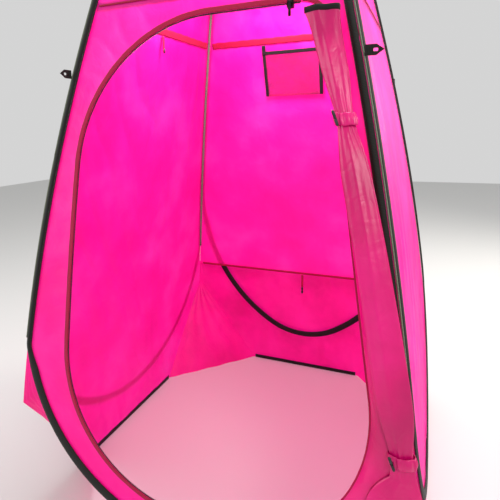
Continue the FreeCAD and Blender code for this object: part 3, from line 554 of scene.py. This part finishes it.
def front_wall():
    """Ring of cloth between the hoop, the roof seam and the door opening."""
    right = [(x, z) for x, z in hoop_half("low", INSET, 30) if z < SEAM] + [(half(SEAM) - INSET, SEAM)]
    outer = right + [(-x, z) for x, z in reversed(right[1:])]
    inner = door_line(0.0, 0.012)
    centre = (0.02, 0.92)
    corner = [math.atan2(SEAM - centre[1], sign * (half(SEAM) - INSET) - centre[0]) % (2 * math.pi)
              for sign in (1, -1)]
    count, across = ((460, 16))
    angles = sorted([2 * math.pi * i / count for i in range(count)] + corner)
    verts, uvs, plain = [], [], []
    for angle in angles:
        near, far = crossing(inner, centre, angle), crossing(outer, centre, angle)
        for j in range(across + 1):
            t = near + (far - near) * j / across
            u, z = centre[0] + t * math.cos(angle), centre[1] + t * math.sin(angle)
            plain.append(at("front", u, z))
            calm = smooth(far - t, -0.002, 0.05) * (0.35 + 0.65 * smooth(t - near, 0, 0.05))
            verts.append(at("front", u, z, under_sleeve("front", u, z, wrinkle_front(u, z)) * calm))
            uvs.append((u, z))
    columns, rows = across + 1, len(angles)
    faces = []
    for i in range(rows):
        here, ahead = i * columns, (i + 1) % rows * columns
        faces += [(here + j, ahead + j, ahead + j + 1, here + j + 1) for j in range(across)]
    obj = make_object("cloth_wall_front", verts, faces, PINK, uvs)
    return finish_piece(obj, "wall_front")


front_wall()


# ---- ruled corner cloth: gussets and roof gores
def ruled(name, first, second, steps, sag, seed, material, node):
    """Sheet between two edges, sagging a little between them."""
    verts, uvs, plain = [], [], []
    for i, (a, b) in enumerate(zip(first, second)):
        reach = (b - a).length
        along = i / (len(first) - 1)
        inward = Vector((-(a.x + b.x), -(a.y + b.y), 0)).normalized()
        for j in range(steps + 1):
            t = j / steps
            base = a.lerp(b, t)
            plain.append(base)
            dip = sag * min(1.0, reach / 0.2) * math.sin(math.pi * t)
            crease = 0.0035 * fbm(base.x * 9 + seed, base.y * 9, base.z * 9)
            crease += 0.0015 * math.sin(t * 26 + along * 9 + seed)
            calm = smooth(min(t, 1 - t) * reach, 0, 0.03)
            verts.append(base + inward * (dip + crease * calm))
            uvs.append((t * reach, along))
    obj = make_object(name, verts, grid_faces(len(first), steps + 1), material, uvs)
    return finish_piece(obj, node)


def side_line(low_z, high_z, steps, inset):
    return [(math.sqrt((R - inset) ** 2 - (z + DROP) ** 2) - OUT, z) for z in
            [low_z + (high_z - low_z) * i / steps for i in range(steps + 1)]]


hoop_line = hoop_half("low", GAP, 30)
hoop_low = [p for p in hoop_line if p[1] <= LOW["low"][0] + 1e-6 and p[0] >= GUSSET_FOOT]
hoop_low = resample(list(reversed(hoop_low)), 0.02)
wall_low = list(reversed(side_line(GUSSET_TOP, LOW["low"][0], 12, GAP))) + [(HEM_END, 0.0)]
total = len(hoop_low) - 1
wall_low = resample(wall_low, sum(math.dist(a, b) for a, b in zip(wall_low, wall_low[1:])) / total)
for sign, word in ((1, "right"), (-1, "left")):
    first = [at("front", sign * u, z) for u, z in hoop_low]
    second = [at(word, -sign * u, z) for u, z in wall_low]
    ruled(f"cloth_gusset_front_{word}", first, second, 24, 0.004, 3.0 + sign, DEEP, f"gusset_front_{word}")
    rear = list(reversed(side_line(GUSSET_TOP, SKIRT_SEAM + 0.012, 6, GAP)))
    rear = resample(rear + [(HEM_END, 0.0)], 0.02)
    first = [at("back", -sign * u, z, SKIRT_OUT) for u, z in rear]
    second = [at(word, sign * u, z) for u, z in rear]
    ruled(f"cloth_gusset_back_{word}", first, second, 30, 0.005, 7.0 + sign, DEEP, f"gusset_back_{word}")

gore_line = resample([p for p in hoop_line if p[1] > 1.73 and p[0] > 0.003], 0.012)
for corner, degrees in CORNERS.items():
    first = [turn((u, -half(z), z), degrees) for u, z in gore_line]
    second = [turn((half(z), -u, z), degrees) for u, z in gore_line]
    ruled(f"cloth_gore_{corner}", first, second, 26, 0.0035, degrees / 31.0, PINK, f"roof_gore_{corner}")


def roof_crown():
    """Flat square of cloth between the tops of the hoops, sagging in the middle."""
    reach, level, count = half(CROWN) - INSET, CROWN - 0.0035, 28
    tips = [Vector((0, -reach, 0)), Vector((reach, 0, 0)), Vector((0, reach, 0)), Vector((-reach, 0, 0))]
    verts, uvs = [], []
    for i in range(count + 1):
        for j in range(count + 1):
            s, t = i / count, j / count
            p = tips[0].lerp(tips[1], s).lerp(tips[3].lerp(tips[2], s), t)
            calm = math.sin(math.pi * s) * math.sin(math.pi * t)
            p.z = level - 0.003 * calm + 0.0022 * fbm(p.x * 12, p.y * 12, 2.0) * calm
            verts.append(p)
            uvs.append((p.x, p.y))
    obj = make_object("cloth_roof_crown", verts, grid_faces(count + 1, count + 1), PINK, uvs)
    return finish_piece(obj, "roof_crown")


roof_crown()


# ---- webbing swept along a wall line
def sweep(name, side, line, section, material, *nodes, closed=False, lift=None):
    """Sweep a section of (across, out) points along a line on a wall; across is to the line's left."""
    count = len(line)
    verts, uvs, travelled = [], [], 0.0
    for i, (u, z) in enumerate(line):
        before = line[i - 1 if i or closed else 0]
        after = line[(i + 1) % count if closed or i < count - 1 else i]
        dx, dz = after[0] - before[0], after[1] - before[1]
        size = math.hypot(dx, dz) or 1.0
        nx, nz = -dz / size, dx / size
        if i:
            travelled += math.dist(line[i - 1], (u, z))
        extra = lift(u, z) if lift else 0.0
        shape = section(u, z) if callable(section) else section
        for across, out in shape:
            verts.append(at(side, u + nx * across, z + nz * across, out + extra))
            uvs.append((travelled, across + out))
    obj = make_object(name, verts, tube_faces(count, len(shape), closed), material, uvs)
    face_outwards(obj)
    return finish_piece(obj, *nodes)


def band(width, inner, outer, crown=0.0, across=1, out=1):
    """Tape section, flat beneath and crowned on top; -1 lays it on the line's right or inside the wall."""
    steps = [i / 6 for i in range(7)]
    section = [(width * t, outer + crown * math.sin(math.pi * t)) for t in steps]
    section += [(width * t, inner) for t in reversed(steps)]
    return [(across * a, out * o) for a, o in section]


def along_corner(u, z):
    """1 where a hoop runs up a corner of the tent, 0 where it arcs across a wall."""
    return 1 - smooth(half(z) - abs(u), 0.002, 0.030) if z < spring_z else 0.0


def sleeve_width(u, z):
    return SLEEVE + (CORNER_SLEEVE - SLEEVE) * along_corner(u, z)


def sleeve_section(u, z):
    """Webbing sleeve: flat sewn margins with the spring strip swelling the middle; rounder on a corner."""
    w, corner = sleeve_width(u, z), along_corner(u, z)
    margin, swell = 0.0045 - 0.0025 * corner, 0.0080 + 0.0012 * corner
    top = [(0.0, 0.0035), (0.0008, 0.0050), (margin, 0.0056 + 0.0008 * corner), (0.0075, swell - 0.0006),
           (0.0130, swell), (w - 0.0075 + 0.0025 * corner, swell - 0.0008), (w - margin, 0.0060),
           (w - 0.0008, 0.0050), (w, 0.0035)]
    return top + [(w - 0.001, 0.0018), (w / 2, 0.0018), (0.001, 0.0018)]


spring_z = max(z for x, z in hoop_half("low", 0.0, 40) if abs(x - half(z)) < 1e-5)
MARGIN, STITCH = 0.0016, 0.0003         # a stitch row's distance from the sleeve's edge, and its half width


def stitch_row(name, side, inner):
    """Row of small raised stitches along one margin of a sleeve."""
    edge = resample(closed_hoop(LOW_OF[side], 0.0), 0.0045, closed=True)
    line = []
    for (u0, z0), (u1, z1), (u2, z2) in zip(edge[-1:] + edge, edge, edge[1:] + edge[:1]):
        size = math.dist((u0, z0), (u2, z2))
        inset = sleeve_width(u1, z1) - MARGIN if inner else MARGIN
        line.append((u1 - (z2 - z0) / size * inset, z1 + (u2 - u0) / size * inset))
    verts, faces = [], []
    for (u1, z1), (u2, z2) in zip(line, line[1:]):
        size = math.dist((u1, z1), (u2, z2))
        nx, nz = -(z2 - z1) / size * STITCH, (u2 - u1) / size * STITCH
        faces += [tuple(len(verts) + k for k in face) for face in grid_faces(3, 3)]
        for t, rise in ((0.12, 0.0001), (0.5, 0.00045), (0.88, 0.0001)):
            u, z = u1 + (u2 - u1) * t, z1 + (z2 - z1) * t
            verts += [at(side, u + nx, z + nz, 0.0052), at(side, u, z, 0.0053 + rise),
                      at(side, u - nx, z - nz, 0.0052)]
    finish_piece(make_object(name, verts, faces, BLACK_TAPE, [(0, 0)] * len(verts)))


for side in SIDES:
    line = resample(closed_hoop(LOW_OF[side], 0.0), 0.008, closed=True)
    sweep(f"sleeve_web_{side}", side, line, sleeve_section, BLACK_WEB, f"sleeve_{side}", closed=True)
    for inner, word in ((False, "outer"), (True, "inner")):
        stitch_row(f"stitch_{word}_{side}", side, inner)


# ---- corner seams and bindings, coloured grey-green as a painted highlight along each corner
def tube_along(name, points, radius, material, body="shell", squeeze=None):
    """Round cord of cloth through points, with a tape map along it."""
    points, sides = [Vector(p) for p in points], 8
    verts, uvs, travelled = [], [], 0.0
    up = Vector((0, 0, 1))
    for i, p in enumerate(points):
        ahead = (points[min(i + 1, len(points) - 1)] - points[max(i - 1, 0)]).normalized()
        across = ahead.cross(up if abs(ahead.z) < 0.95 else Vector((1, 0, 0))).normalized()
        other = across.cross(ahead)
        if i:
            travelled += (p - points[i - 1]).length
        r = radius * (squeeze(travelled) if squeeze else 1.0)
        for j in range(sides):
            a = 2 * math.pi * j / sides
            verts.append(p + across * r * math.cos(a) + other * r * math.sin(a))
            uvs.append((travelled, r * a))
    obj = make_object(name, verts, tube_faces(len(points), sides), material, uvs)
    return finish_piece(obj, body=body)


for corner, degrees in CORNERS.items():
    heights = even(LOW["low"][0] + 0.010, spring_z - 0.008, 0.02)
    points = [turn((half(z) + 0.0032, -half(z) - 0.0032, z), degrees) for z in heights]
    # grey cord outside the corner: painted highlight along the gap between the two sleeves
    tube_along(f"seam_{corner}", points, 0.0019, SEAM_HIGHLIGHT_GREY, squeeze=lambda s: 1 + 0.06 * math.sin(s * 180))
    verts, uvs = [], []
    for z in heights:
        w = half(z)
        bend = 0.0004 * math.sin(z * 90)
        for t in (0.0, 0.25, 0.5, 0.75, 1.0):
            a = Vector((w - 0.0085, -w + 0.0029 + bend, z))
            b = Vector((w - 0.0029 - bend, -w + 0.0085, z))
            bulge = Vector((-1, 1, 0)) * 0.0012 * math.sin(math.pi * t)
            verts.append(turn(a.lerp(b, t) - bulge, degrees))
            uvs.append((z, 0.0129 * t))
    # grey strip inside the corner: the same painted highlight colour
    strip = make_object(f"corner_highlight_tape_{corner}", verts, grid_faces(len(heights), 5), SEAM_HIGHLIGHT_GREY, uvs)
    thicken(strip, 0.0009, 0.0)
    finish_piece(strip, f"corner_binding_{corner}")

# ---- seams, hems and tapes
def straight(start, end, count):
    """Evenly spaced points from one (across, up) point to another."""
    (u1, z1), (u2, z2) = start, end
    return [(u1 + (u2 - u1) * i / count, z1 + (z2 - z1) * i / count) for i in range(count + 1)]


for side in SIDES:
    reach = half(SEAM) - 0.020
    line = straight((-reach, SEAM - 0.011), (reach, SEAM - 0.011), 90)
    line = [(u, z + 0.0007 * math.sin(i * 0.9)) for i, (u, z) in enumerate(line)]
    sweep(f"roof_tape_{side}", side, line, band(0.022, 0.0022, 0.0036, 0.0004, out=-1), RED_TAPE,
          f"roof_seam_tape_{side}", lift=lambda u, z: 0.0004 * math.sin(u * 70))
    reach = half(SEAM) - 0.028
    sweep(f"roof_piping_{side}", side, straight((-reach, SEAM - 0.002), (reach, SEAM - 0.002), 90),
          band(0.0045, 0.0016, 0.0034, 0.0008), RED_TAPE)


def hem(name, side, low, width, reach, inner, out, material, node):
    """Flat tape across a wall, inside it (-1) or outside it (1)."""
    section = band(width, inner, inner + 0.0014, 0.0003, out=out)
    sweep(name, side, straight((-reach, low), (reach, low), 80), section, material, node)


HEM_REACH = HEM_HALF - 0.008
hem("hem_left", "left", 0.002, 0.020, HEM_REACH, 0.0022, -1, BLACK_TAPE, "hem_tape_left")
hem("hem_right", "right", 0.002, 0.020, HEM_REACH, 0.0022, -1, BLACK_TAPE, "hem_tape_right")
hem("hem_back", "back", 0.002, 0.020, HEM_REACH, SKIRT_OUT - 0.0038, 1, BLACK_TAPE, "hem_tape_back")
hem("skirt_seam", "back", SKIRT_SEAM - 0.001, 0.010, half(SKIRT_SEAM) - 0.022, 0.0022, -1, RED_TAPE,
    "skirt_seam_tape")


# ---- door zip
ring = door_line(0.0, 0.004)
SEWN_LOW, SEWN_HIGH, SEWN_TOP = (0.130, 0.150), (0.257, 1.605), 1.56    # line beyond which the door is sewn


def on_zip_side(u, z):
    """True where the coil runs: everywhere but along the sewn side of the door."""
    (low_u, low_z), (high_u, high_z) = SEWN_LOW, SEWN_HIGH
    return u < low_u + (z - low_z) * (high_u - low_u) / (high_z - low_z) or z > SEWN_TOP


first_gap = next(i for i in range(len(ring)) if on_zip_side(*ring[i]) and not on_zip_side(*ring[i - 1]))
zip_line = [p for p in ring[first_gap:] + ring[:first_gap] if on_zip_side(*p)]
sewn_line = [p for p in ring if not on_zip_side(*p)]
sweep("zip_tape_cloth", "front", zip_line, band(0.0128, 0.0018, 0.0029, 0.0004, across=-1), RED_TAPE,
      "door_zip_tape", lift=lambda u, z: 0.0003 * math.sin(u * 90 + z * 70))
sweep("door_edge_binding", "front", sewn_line, band(0.0100, 0.0018, 0.0029, 0.0004, across=-1), RED_TAPE)
sweep("zip_core", "front", zip_line, band(0.0018, -0.0006, 0.0010), COIL, "door_zip_coil")


def coil_teeth():
    """Row of small rounded teeth along the zip line."""
    line = resample(zip_line, 0.0031)
    middle = 0.0002
    verts, faces = [], []
    for i, (u, z) in enumerate(line[1:-1], 1):
        dx, dz = line[i + 1][0] - line[i - 1][0], line[i + 1][1] - line[i - 1][1]
        size = math.hypot(dx, dz)
        tx, tz, nx, nz = dx / size, dz / size, -dz / size, dx / size
        base = len(verts)
        for across, along, grow in ((0.0008, 0.0009, 0.75), (0.0022, 0.0010, 1.0), (0.0038, 0.0007, 0.7)):
            for out in (-0.0011, 0.0015):
                for step in (-along, along):
                    verts.append(at("front", u + nx * across + tx * step, z + nz * across + tz * step,
                                    middle + (out - middle) * grow))
        for k in (0, 4):
            a = base + k
            faces += [(a, a + 1, a + 5, a + 4), (a + 2, a + 6, a + 7, a + 3), (a, a + 4, a + 6, a + 2),
                      (a + 1, a + 3, a + 7, a + 5)]
        faces += [(base, base + 2, base + 3, base + 1), (base + 8, base + 9, base + 11, base + 10)]
    obj = make_object("zip_teeth", verts, faces, COIL, [(0, 0)] * len(verts), smooth_shade=False)
    return finish_piece(obj)


coil_teeth()


# ---- gathered door
INWARD, LEAN, STAND_OUT = 0.063, 0.043, 0.034   # middle of the bundle from the corner and from the wall
HALF_WIDE, WIDEN, HALF_DEEP = 0.028, 0.012, 0.020           # its size, and how much wider it hangs
FOOT_SPREAD, FOOT_START, FOOT_SPAN = 0.030, 0.040, 0.050    # how it spreads below the lower tie
TOP_FLARE, TOP_SPAN = 0.010, 0.040
TIE_PINCH, TIE_SPAN = 0.40, 0.070


def foot_spread(z):
    return FOOT_SPREAD * (1 - math.exp(-max(0.0, TIES[1] - FOOT_START - z) / FOOT_SPAN))


def hang(z):
    """0 at the top of the gathered door, 1 from the lower tie down."""
    return min(1.0, (BUNDLE_TOP - z) / (BUNDLE_TOP - TIES[1]))


def bundle_centre(z):
    return Vector((half(z) - INWARD + LEAN * hang(z) - foot_spread(z), -half(z) - STAND_OUT, z))


def bundle_size(z):
    """Half width, half depth and how hard a tie pulls at height z."""
    pull = max(math.exp(-((z - tie) / TIE_SPAN) ** 2) for tie in TIES)
    squeeze = 1 - TIE_PINCH * pull
    flare = TOP_FLARE * math.exp(min(0.0, z - BUNDLE_TOP) / TOP_SPAN)
    return (HALF_WIDE + WIDEN * hang(z)) * squeeze + flare + foot_spread(z), HALF_DEEP * squeeze, pull


PASSES = 9                                                  # times the cloth runs from edge to edge


def door_point(s, z):
    """Point of the gathered cloth, s passes in from its front edge, folded to and fro in one stack."""
    w, d, pull = bundle_size(z)
    x = -math.cos(math.pi * s) * (0.985 - 0.05 * abs(fbm(s * 1.7, z * 2.5, 4.0, 2)))
    layer = 1 - 2 * s / PASSES
    shift = 0.10 + 0.28 * fbm(z * 1.3, 2.0, 5.0, 2)
    facets = 1 - abs(math.sin(math.pi * (0.80 * x + shift)))
    belly = math.sqrt(max(0.0, 1 - x * x))
    face = 0.10 + belly * (0.62 + 0.26 * facets)
    gather = 0.0012 * math.sin(x * 13 + 6 * fbm(x, z * 5, 1.0, 2)) * pull * belly
    fan = smooth(z, 1.36, BUNDLE_TOP) * 0.0022 * math.sin(x * 5 + (BUNDLE_TOP - z) * 46) * belly
    soft = 0.0012 * fbm(x * 2.5, z * 7.0, 3.0, 2) * (1 - pull)
    drop = 0.008 * math.sin(s * 2.1 + 1.0) * smooth(z, BUNDLE_FOOT + 0.12, BUNDLE_FOOT)
    return bundle_centre(z) + Vector((w * x, -d * layer * face + gather + fan + soft, drop))


def gathered_door():
    """The door cloth folded to and fro, pinched by the two ties."""
    per, rows = (28), (320)
    count = PASSES * per + 1
    verts, uvs = [], []
    for i in range(rows + 1):
        z = BUNDLE_TOP - (BUNDLE_TOP - BUNDLE_FOOT) * i / rows
        for j in range(count):
            verts.append(door_point(j / per, z))
            uvs.append((j / (count - 1) * 0.78, z))
    obj = make_object("door_cloth", verts, grid_faces(rows + 1, count), SATIN, uvs)
    opening = door_line(0.0)
    return finish_piece(obj, "door_panel", body="door")


gathered_door()


def tie_band(word, z):
    """Ruched band of the door's own cloth round the bundle."""
    w, d, _ = bundle_size(z)
    count, rows = 120, 12
    verts, uvs = [], []
    for i in range(rows + 1):
        t = i / rows
        level = z + 0.0125 - 0.025 * t
        swell = 0.0020 * math.sin(math.pi * t)
        for j in range(count):
            a = 2 * math.pi * j / count
            ruche = 0.0014 * math.sin(a * 11 + 2 * math.sin(a * 3) + z)
            grow = 0.0030 + swell + ruche * (0.4 + 0.6 * math.sin(math.pi * t))
            x, y = (w + grow) * math.cos(a), (d + grow) * math.sin(a)
            verts.append(bundle_centre(level) + Vector((x, y, 0.0008 * math.sin(a * 5))))
            uvs.append((a * 0.03, level))
    obj = make_object(f"tie_band_{word}", verts, grid_faces(rows + 1, count, wrap=True), SATIN, uvs)
    thicken(obj, 0.0012, -1.0)
    return finish_piece(obj, f"door_tie_{word}", body="door")


def lathe(name, start, end, profile, body, *nodes):
    """Turned plastic piece between two points, from (share along, radius) pairs."""
    start, end, sides = Vector(start), Vector(end), 20
    ahead = (end - start).normalized()
    across = ahead.cross(Vector((0, 1, 0.1))).normalized()
    other = ahead.cross(across)
    verts = []
    for share, r in profile:
        for j in range(sides):
            a = 2 * math.pi * j / sides
            verts.append(start.lerp(end, share) + (across * math.cos(a) + other * math.sin(a)) * r)
    obj = make_object(name, verts, tube_faces(len(profile), sides), PLASTIC, [(0, 0)] * len(verts))
    face_outwards(obj)
    return finish_piece(obj, *nodes, body=body)


TOGGLE = [(0.0, 0.0010), (0.015, 0.0022), (0.05, 0.0029), (0.12, 0.0032), (0.40, 0.0032), (0.43, 0.0026),
          (0.47, 0.0024), (0.53, 0.0024), (0.57, 0.0026), (0.60, 0.0032), (0.88, 0.0032), (0.95, 0.0029),
          (0.985, 0.0022), (1.0, 0.0010)]
TOGGLE_LENGTH, TOGGLE_LEAN, CORD_RING = 0.034, math.radians(-22), 0.0029
for word, z in (("upper", TIES[0]), ("lower", TIES[1])):
    tie_band(word, z)
    w, d, _ = bundle_size(z)
    centre = bundle_centre(z)
    stand_off = d + 0.0025 + 0.002 + 0.0032 + 0.0024
    foot = centre + Vector((-w * 0.55, -stand_off, -TOGGLE_LENGTH * 0.4))
    tip = foot + Vector((math.sin(TOGGLE_LEAN), 0, math.cos(TOGGLE_LEAN))) * TOGGLE_LENGTH
    lathe(f"toggle_{word}", foot, tip, TOGGLE, "door", f"door_toggle_{word}")
    middle = foot.lerp(tip, 0.5)
    loop = [middle + Vector((math.cos(a), math.sin(a), 0)) * CORD_RING for a in
            [math.pi * (0.05 + 1.9 * k / 16) - math.pi / 2 for k in range(17)]]
    band_skin = Vector((middle.x, centre.y - d - 0.0052, middle.z))
    loop = [band_skin + Vector((-0.002, 0.001, 0))] + loop + [band_skin + Vector((0.002, 0.001, 0))]
    tube_along(f"toggle_cord_{word}", loop, 0.0009, BLACK_TAPE, body="door")

# bound top edge of the gathered door
RIM = 270
RIM_SECTION = [(-0.0008, -0.0075), (-0.0013, 0.0), (-0.0008, 0.0045), (0.0008, 0.0045), (0.0013, 0.0),
               (0.0008, -0.0075)]
rim_points = [door_point(PASSES * j / RIM, BUNDLE_TOP) + Vector((0, 0, 0.0048)) for j in range(RIM + 1)]
verts, uvs = [], []
for i, p in enumerate(rim_points):
    ahead = (rim_points[min(i + 1, RIM)] - rim_points[max(i - 1, 0)]).normalized()
    side_way = ahead.cross(Vector((0, 0, 1))).normalized()
    for across, up in RIM_SECTION:
        verts.append(p + side_way * across + Vector((0, 0, up)))
        uvs.append((i * 0.002, up))
top_tape = make_object("door_top_tape", verts, tube_faces(RIM + 1, len(RIM_SECTION)), BLACK_TAPE, uvs)
finish_piece(top_tape, "door_top_binding", body="door")


# ---- cloth between the sewn edge and the bundle
def hinge_cloth():
    """Narrow strip of door cloth from the sewn edge of the opening out to the gathered bundle."""
    edge = [p for p in sewn_line if 0.42 < p[1] < 1.50]
    verts, uvs, plain, across = [], [], [], 8
    for u, z in edge:
        start = at("front", u + 0.004, z, 0.0032)
        w, d, _ = bundle_size(z)
        end = bundle_centre(z) + Vector((-w * 0.55, d * 0.25, 0))
        for j in range(across + 1):
            t = j / across
            p = start.lerp(end, t)
            plain.append(p)
            bow = Vector((-0.004, -0.010, 0)) * math.sin(math.pi * t)
            crease = 0.0016 * math.sin(z * 60 + 5 * fbm(z * 4, t, 2)) * math.sin(math.pi * t)
            verts.append(p + bow + Vector((crease, -crease, 0)))
            uvs.append((t * 0.05, z))
    obj = make_object("door_hinge_cloth", verts, grid_faces(len(edge), across + 1), SATIN, uvs)
    return obj


strip = hinge_cloth()
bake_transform(strip)


# ---- mesh pocket
def pocket():
    left, right, low, mouth = -0.132, 0.107, 1.400, 1.566
    rows, columns = 24, 34
    verts, uvs = [], []
    for i in range(rows + 1):
        z = low + (mouth - low) * i / rows
        for j in range(columns + 1):
            s = j / columns
            u = left + (right - left) * s
            slack = math.sin(math.pi * s) * smooth(z, low, mouth)
            verts.append(at("back", u, z, -0.0118 - 0.0006 * slack - 0.0004 * fbm(u * 20, z * 20, 4.0)))
            uvs.append((u, z))
    obj = make_object("pocket_net", verts, grid_faces(rows + 1, columns + 1), MESH, uvs)
    finish_piece(obj, "pocket_mesh")
    top, tape = SEAM - 0.014, 0.012
    for word, edge in (("left", left), ("right", right - tape)):
        sweep(f"pocket_leg_{word}", "back", straight((edge, low), (edge, top), 40),
              band(tape, 0.0024, 0.0126, across=-1, out=-1), BLACK_TAPE)
    sweep("pocket_frame", "back", straight((left, low), (right, low), 40),
          band(0.006, 0.0024, 0.0112, out=-1), DEEP, "pocket_side_tape")
    line = straight((left, mouth - tape), (right, mouth - tape), 40)
    line = [(u, z - 0.0006 * math.sin(math.pi * i / 40)) for i, (u, z) in enumerate(line)]
    sweep("pocket_mouth", "back", line, band(tape, 0.0129, 0.0141, 0.0003, out=-1), BLACK_TAPE,
          "pocket_mouth_tape")


pocket()


# ---- hanging tabs
def strap(name, node):
    """Short folded strap hanging where its CAD strap hangs, riding the body of the same name."""
    low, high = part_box(node)
    middle, size = (low + high) / 2, high - low
    wide_x = size.x > size.y
    fold, rows = 0.0006, 18
    verts, uvs = [], []
    for i in range(rows + 1):
        t = i / rows
        z = high.z - size.z * t
        taper = 1 - 0.10 * math.sin(math.pi * t)
        ripple = 0.0005 * math.sin(t * 7)
        w, d = max(size.x, size.y) / 2 * taper, min(size.x, size.y) / 2 * 0.8
        ring_points = [(-w, -d * 0.6), (-w * 0.8, -d), (0, -d - fold * 0.4), (w * 0.8, -d), (w, -d * 0.6),
                       (w, d * 0.6), (w * 0.8, d), (0, d), (-w * 0.8, d), (-w, d * 0.6)]
        for a, b in ring_points:
            x, y = (a, b + ripple) if wide_x else (b + ripple, a)
            verts.append(Vector((middle.x + x, middle.y + y, z)))
            uvs.append((size.z * t, a))
    finish_piece(make_object(name, verts, tube_faces(rows + 1, 10), RED_TAPE, uvs), node, body=node)
    return low, high


low, high = strap("tab_side", "side_tab")
middle = (low + high) / 2
lathe("tab_side_end", (middle.x, middle.y, low.z + 0.012), (middle.x, middle.y, low.z - 0.004),
      [(0, 0.0012), (0.1, 0.0034), (0.5, 0.0040), (0.9, 0.0036), (1, 0.0012)], "side_tab")
strap("tab_back", "back_tab")
low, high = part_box("back_tab_toggle")
middle = (low + high) / 2
lathe("tab_back_toggle", (middle.x, middle.y, low.z), (middle.x, middle.y, high.z),
      [(0, 0.0015), (0.03, 0.0036), (0.10, 0.0048), (0.20, 0.0050), (0.38, 0.0050), (0.42, 0.0036),
       (0.58, 0.0036), (0.62, 0.0050), (0.80, 0.0050), (0.90, 0.0048), (0.97, 0.0036), (1, 0.0015)],
      "back_tab", "back_tab_toggle")


# ---- guy and peg loops
LAYER = 0.000648                        # half the distance between a loop's two layers


def web_loops(name, node):
    """Webbing loops, one at each corner of the tent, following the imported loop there."""
    corners = {}
    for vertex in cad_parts[node].data.vertices:
        corners.setdefault((vertex.co.x > 0, vertex.co.y > 0), []).append(vertex.co)
    verts, faces, uvs = [], [], []
    for group in corners.values():
        lo = Vector([min(p[k] for p in group) for k in range(3)])
        hi = Vector([max(p[k] for p in group) for k in range(3)])
        size, middle = hi - lo, (lo + hi) / 2
        along = 0 if size.x > size.y else 1
        low_end = [p.z for p in group if p[along] < lo[along] + 1e-4]
        sign = 1 if max(low_end) - min(low_end) > size.z / 2 else -1
        base_value = lo[along] if sign > 0 else hi[along]
        length, width = size[along], size.z
        shoulder, eye_near, eye_far, eye = 0.60 * length, 0.44 * length, 0.70 * length, width * 0.15
        # two layers of tape, each of two halves that meet along the middle and part round the eye
        stations = [0.0, 0.22 * length, eye_near, eye_near + 0.001, 0.5 * (eye_near + shoulder), shoulder,
                    eye_far - 0.001, eye_far, 0.86 * length, length]
        for shift in (-LAYER, LAYER):
            for flip in (1, -1):
                faces += [tuple(len(verts) + k for k in f) for f in tube_faces(len(stations), 4)]
                for x in stations:
                    upper = width / 2 * min(1.0, max(0.02, (length - x) / (length - shoulder)))
                    lower = min(eye, upper * 0.8) if eye_near < x < eye_far else 0.0
                    bend = 0.0004 * math.sin(3 * x / length + flip)
                    for rise, out in ((upper, -0.0005), (upper, 0.0005), (lower, 0.0005), (lower, -0.0005)):
                        p = Vector((0, 0, middle.z + rise * flip))
                        p[along] = base_value + sign * x
                        p[1 - along] = middle[1 - along] + shift + bend + out
                        verts.append(p)
                        uvs.append((x, rise * flip))
    obj = make_object(name, verts, faces, BLACK_WEB, uvs, smooth_shade=False)
    face_outwards(obj)
    return finish_piece(obj, node)


web_loops("guy_webbing", "guy_loops")
web_loops("peg_webbing", "peg_loops")


# ---- carried-over metal pieces
for name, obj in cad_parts.items():
    for start, material in (("hoop_ferrules", FERRULE), ("hoop_", SPRING), ("zip_", METAL)):
        if name.startswith(start):
            obj.data.materials.clear()
            obj.data.materials.append(material)
            break


# ---- floor, light and camera
floor_material, _, shader, _ = new_material("floor_pale")
set_inputs(shader, Base_Color=(0.60, 0.60, 0.59, 1), Roughness=0.85)
FLOOR = 9                               # half its width
corners = [(-FLOOR, -FLOOR, 0), (FLOOR, -FLOOR, 0), (FLOOR, FLOOR, 0), (-FLOOR, FLOOR, 0)]
floor = make_object("floor", corners, [(0, 1, 2, 3)], floor_material, smooth_shade=False)

world = bpy.data.worlds.new("studio")
world.use_nodes = True
set_inputs(world.node_tree.nodes["Background"], Color=(1.0, 1.0, 1.0, 1), Strength=0.66)
bpy.context.scene.world = world
bpy.context.scene.view_settings.view_transform = "Standard"


def area_light(name, position, target, size, power, colour=(1, 1, 1)):
    light = bpy.data.lights.new(name, "AREA")
    light.shape = "DISK"
    light.size = size
    light.energy = power
    light.color = colour
    obj = bpy.data.objects.new(name, light)
    obj.location = position
    obj.rotation_euler = (Vector(target) - Vector(position)).to_track_quat("-Z", "Y").to_euler()
    obj.visible_camera = False
    bpy.context.scene.collection.objects.link(obj)


area_light("inside", (0.0, 0.0, 1.78), (0, 0.05, 0.6), 0.34, 10, (0.96, 0.97, 1.0))
area_light("key", (2.6, -3.2, 3.4), (0, 0, 1.0), 1.6, 62, (1.0, 0.95, 0.88))
area_light("fill", (-3.4, -2.4, 2.2), (0, 0, 1.0), 2.6, 48)
area_light("top", (0.6, 0.8, 4.6), (0, 0, 1.2), 2.6, 150)
area_light("rim", (3.0, 2.6, 2.4), (0, 0, 1.0), 1.6, 100, (1.0, 0.95, 0.88))

POSITION = Vector((0.541, -1.401, 1.28))
SENSOR, FOCAL_SHARE = 36.0, 429 / 500   # sensor width in mm, and the focal length as a share of it
yaw, pitch, roll = math.radians(22.4), math.radians(16.1), math.radians(-1.27)
right = Vector((math.cos(yaw), math.sin(yaw), 0))
ahead = Vector((-math.sin(yaw) * math.cos(pitch), math.cos(yaw) * math.cos(pitch), -math.sin(pitch)))
up = right.cross(ahead)
right_rolled = right * math.cos(roll) + up * math.sin(roll)
up_rolled = -right * math.sin(roll) + up * math.cos(roll)
camera_data = bpy.data.cameras.new("camera")
camera_data.sensor_width = SENSOR
camera_data.lens = SENSOR * FOCAL_SHARE
camera_data.clip_start = 0.02
camera = bpy.data.objects.new("camera", camera_data)
axes = Matrix((right_rolled, up_rolled, -ahead)).transposed().to_4x4()
camera.matrix_world = Matrix.Translation(POSITION) @ axes
bpy.context.scene.collection.objects.link(camera)
bpy.context.scene.camera = camera

bpy.context.view_layer.update()
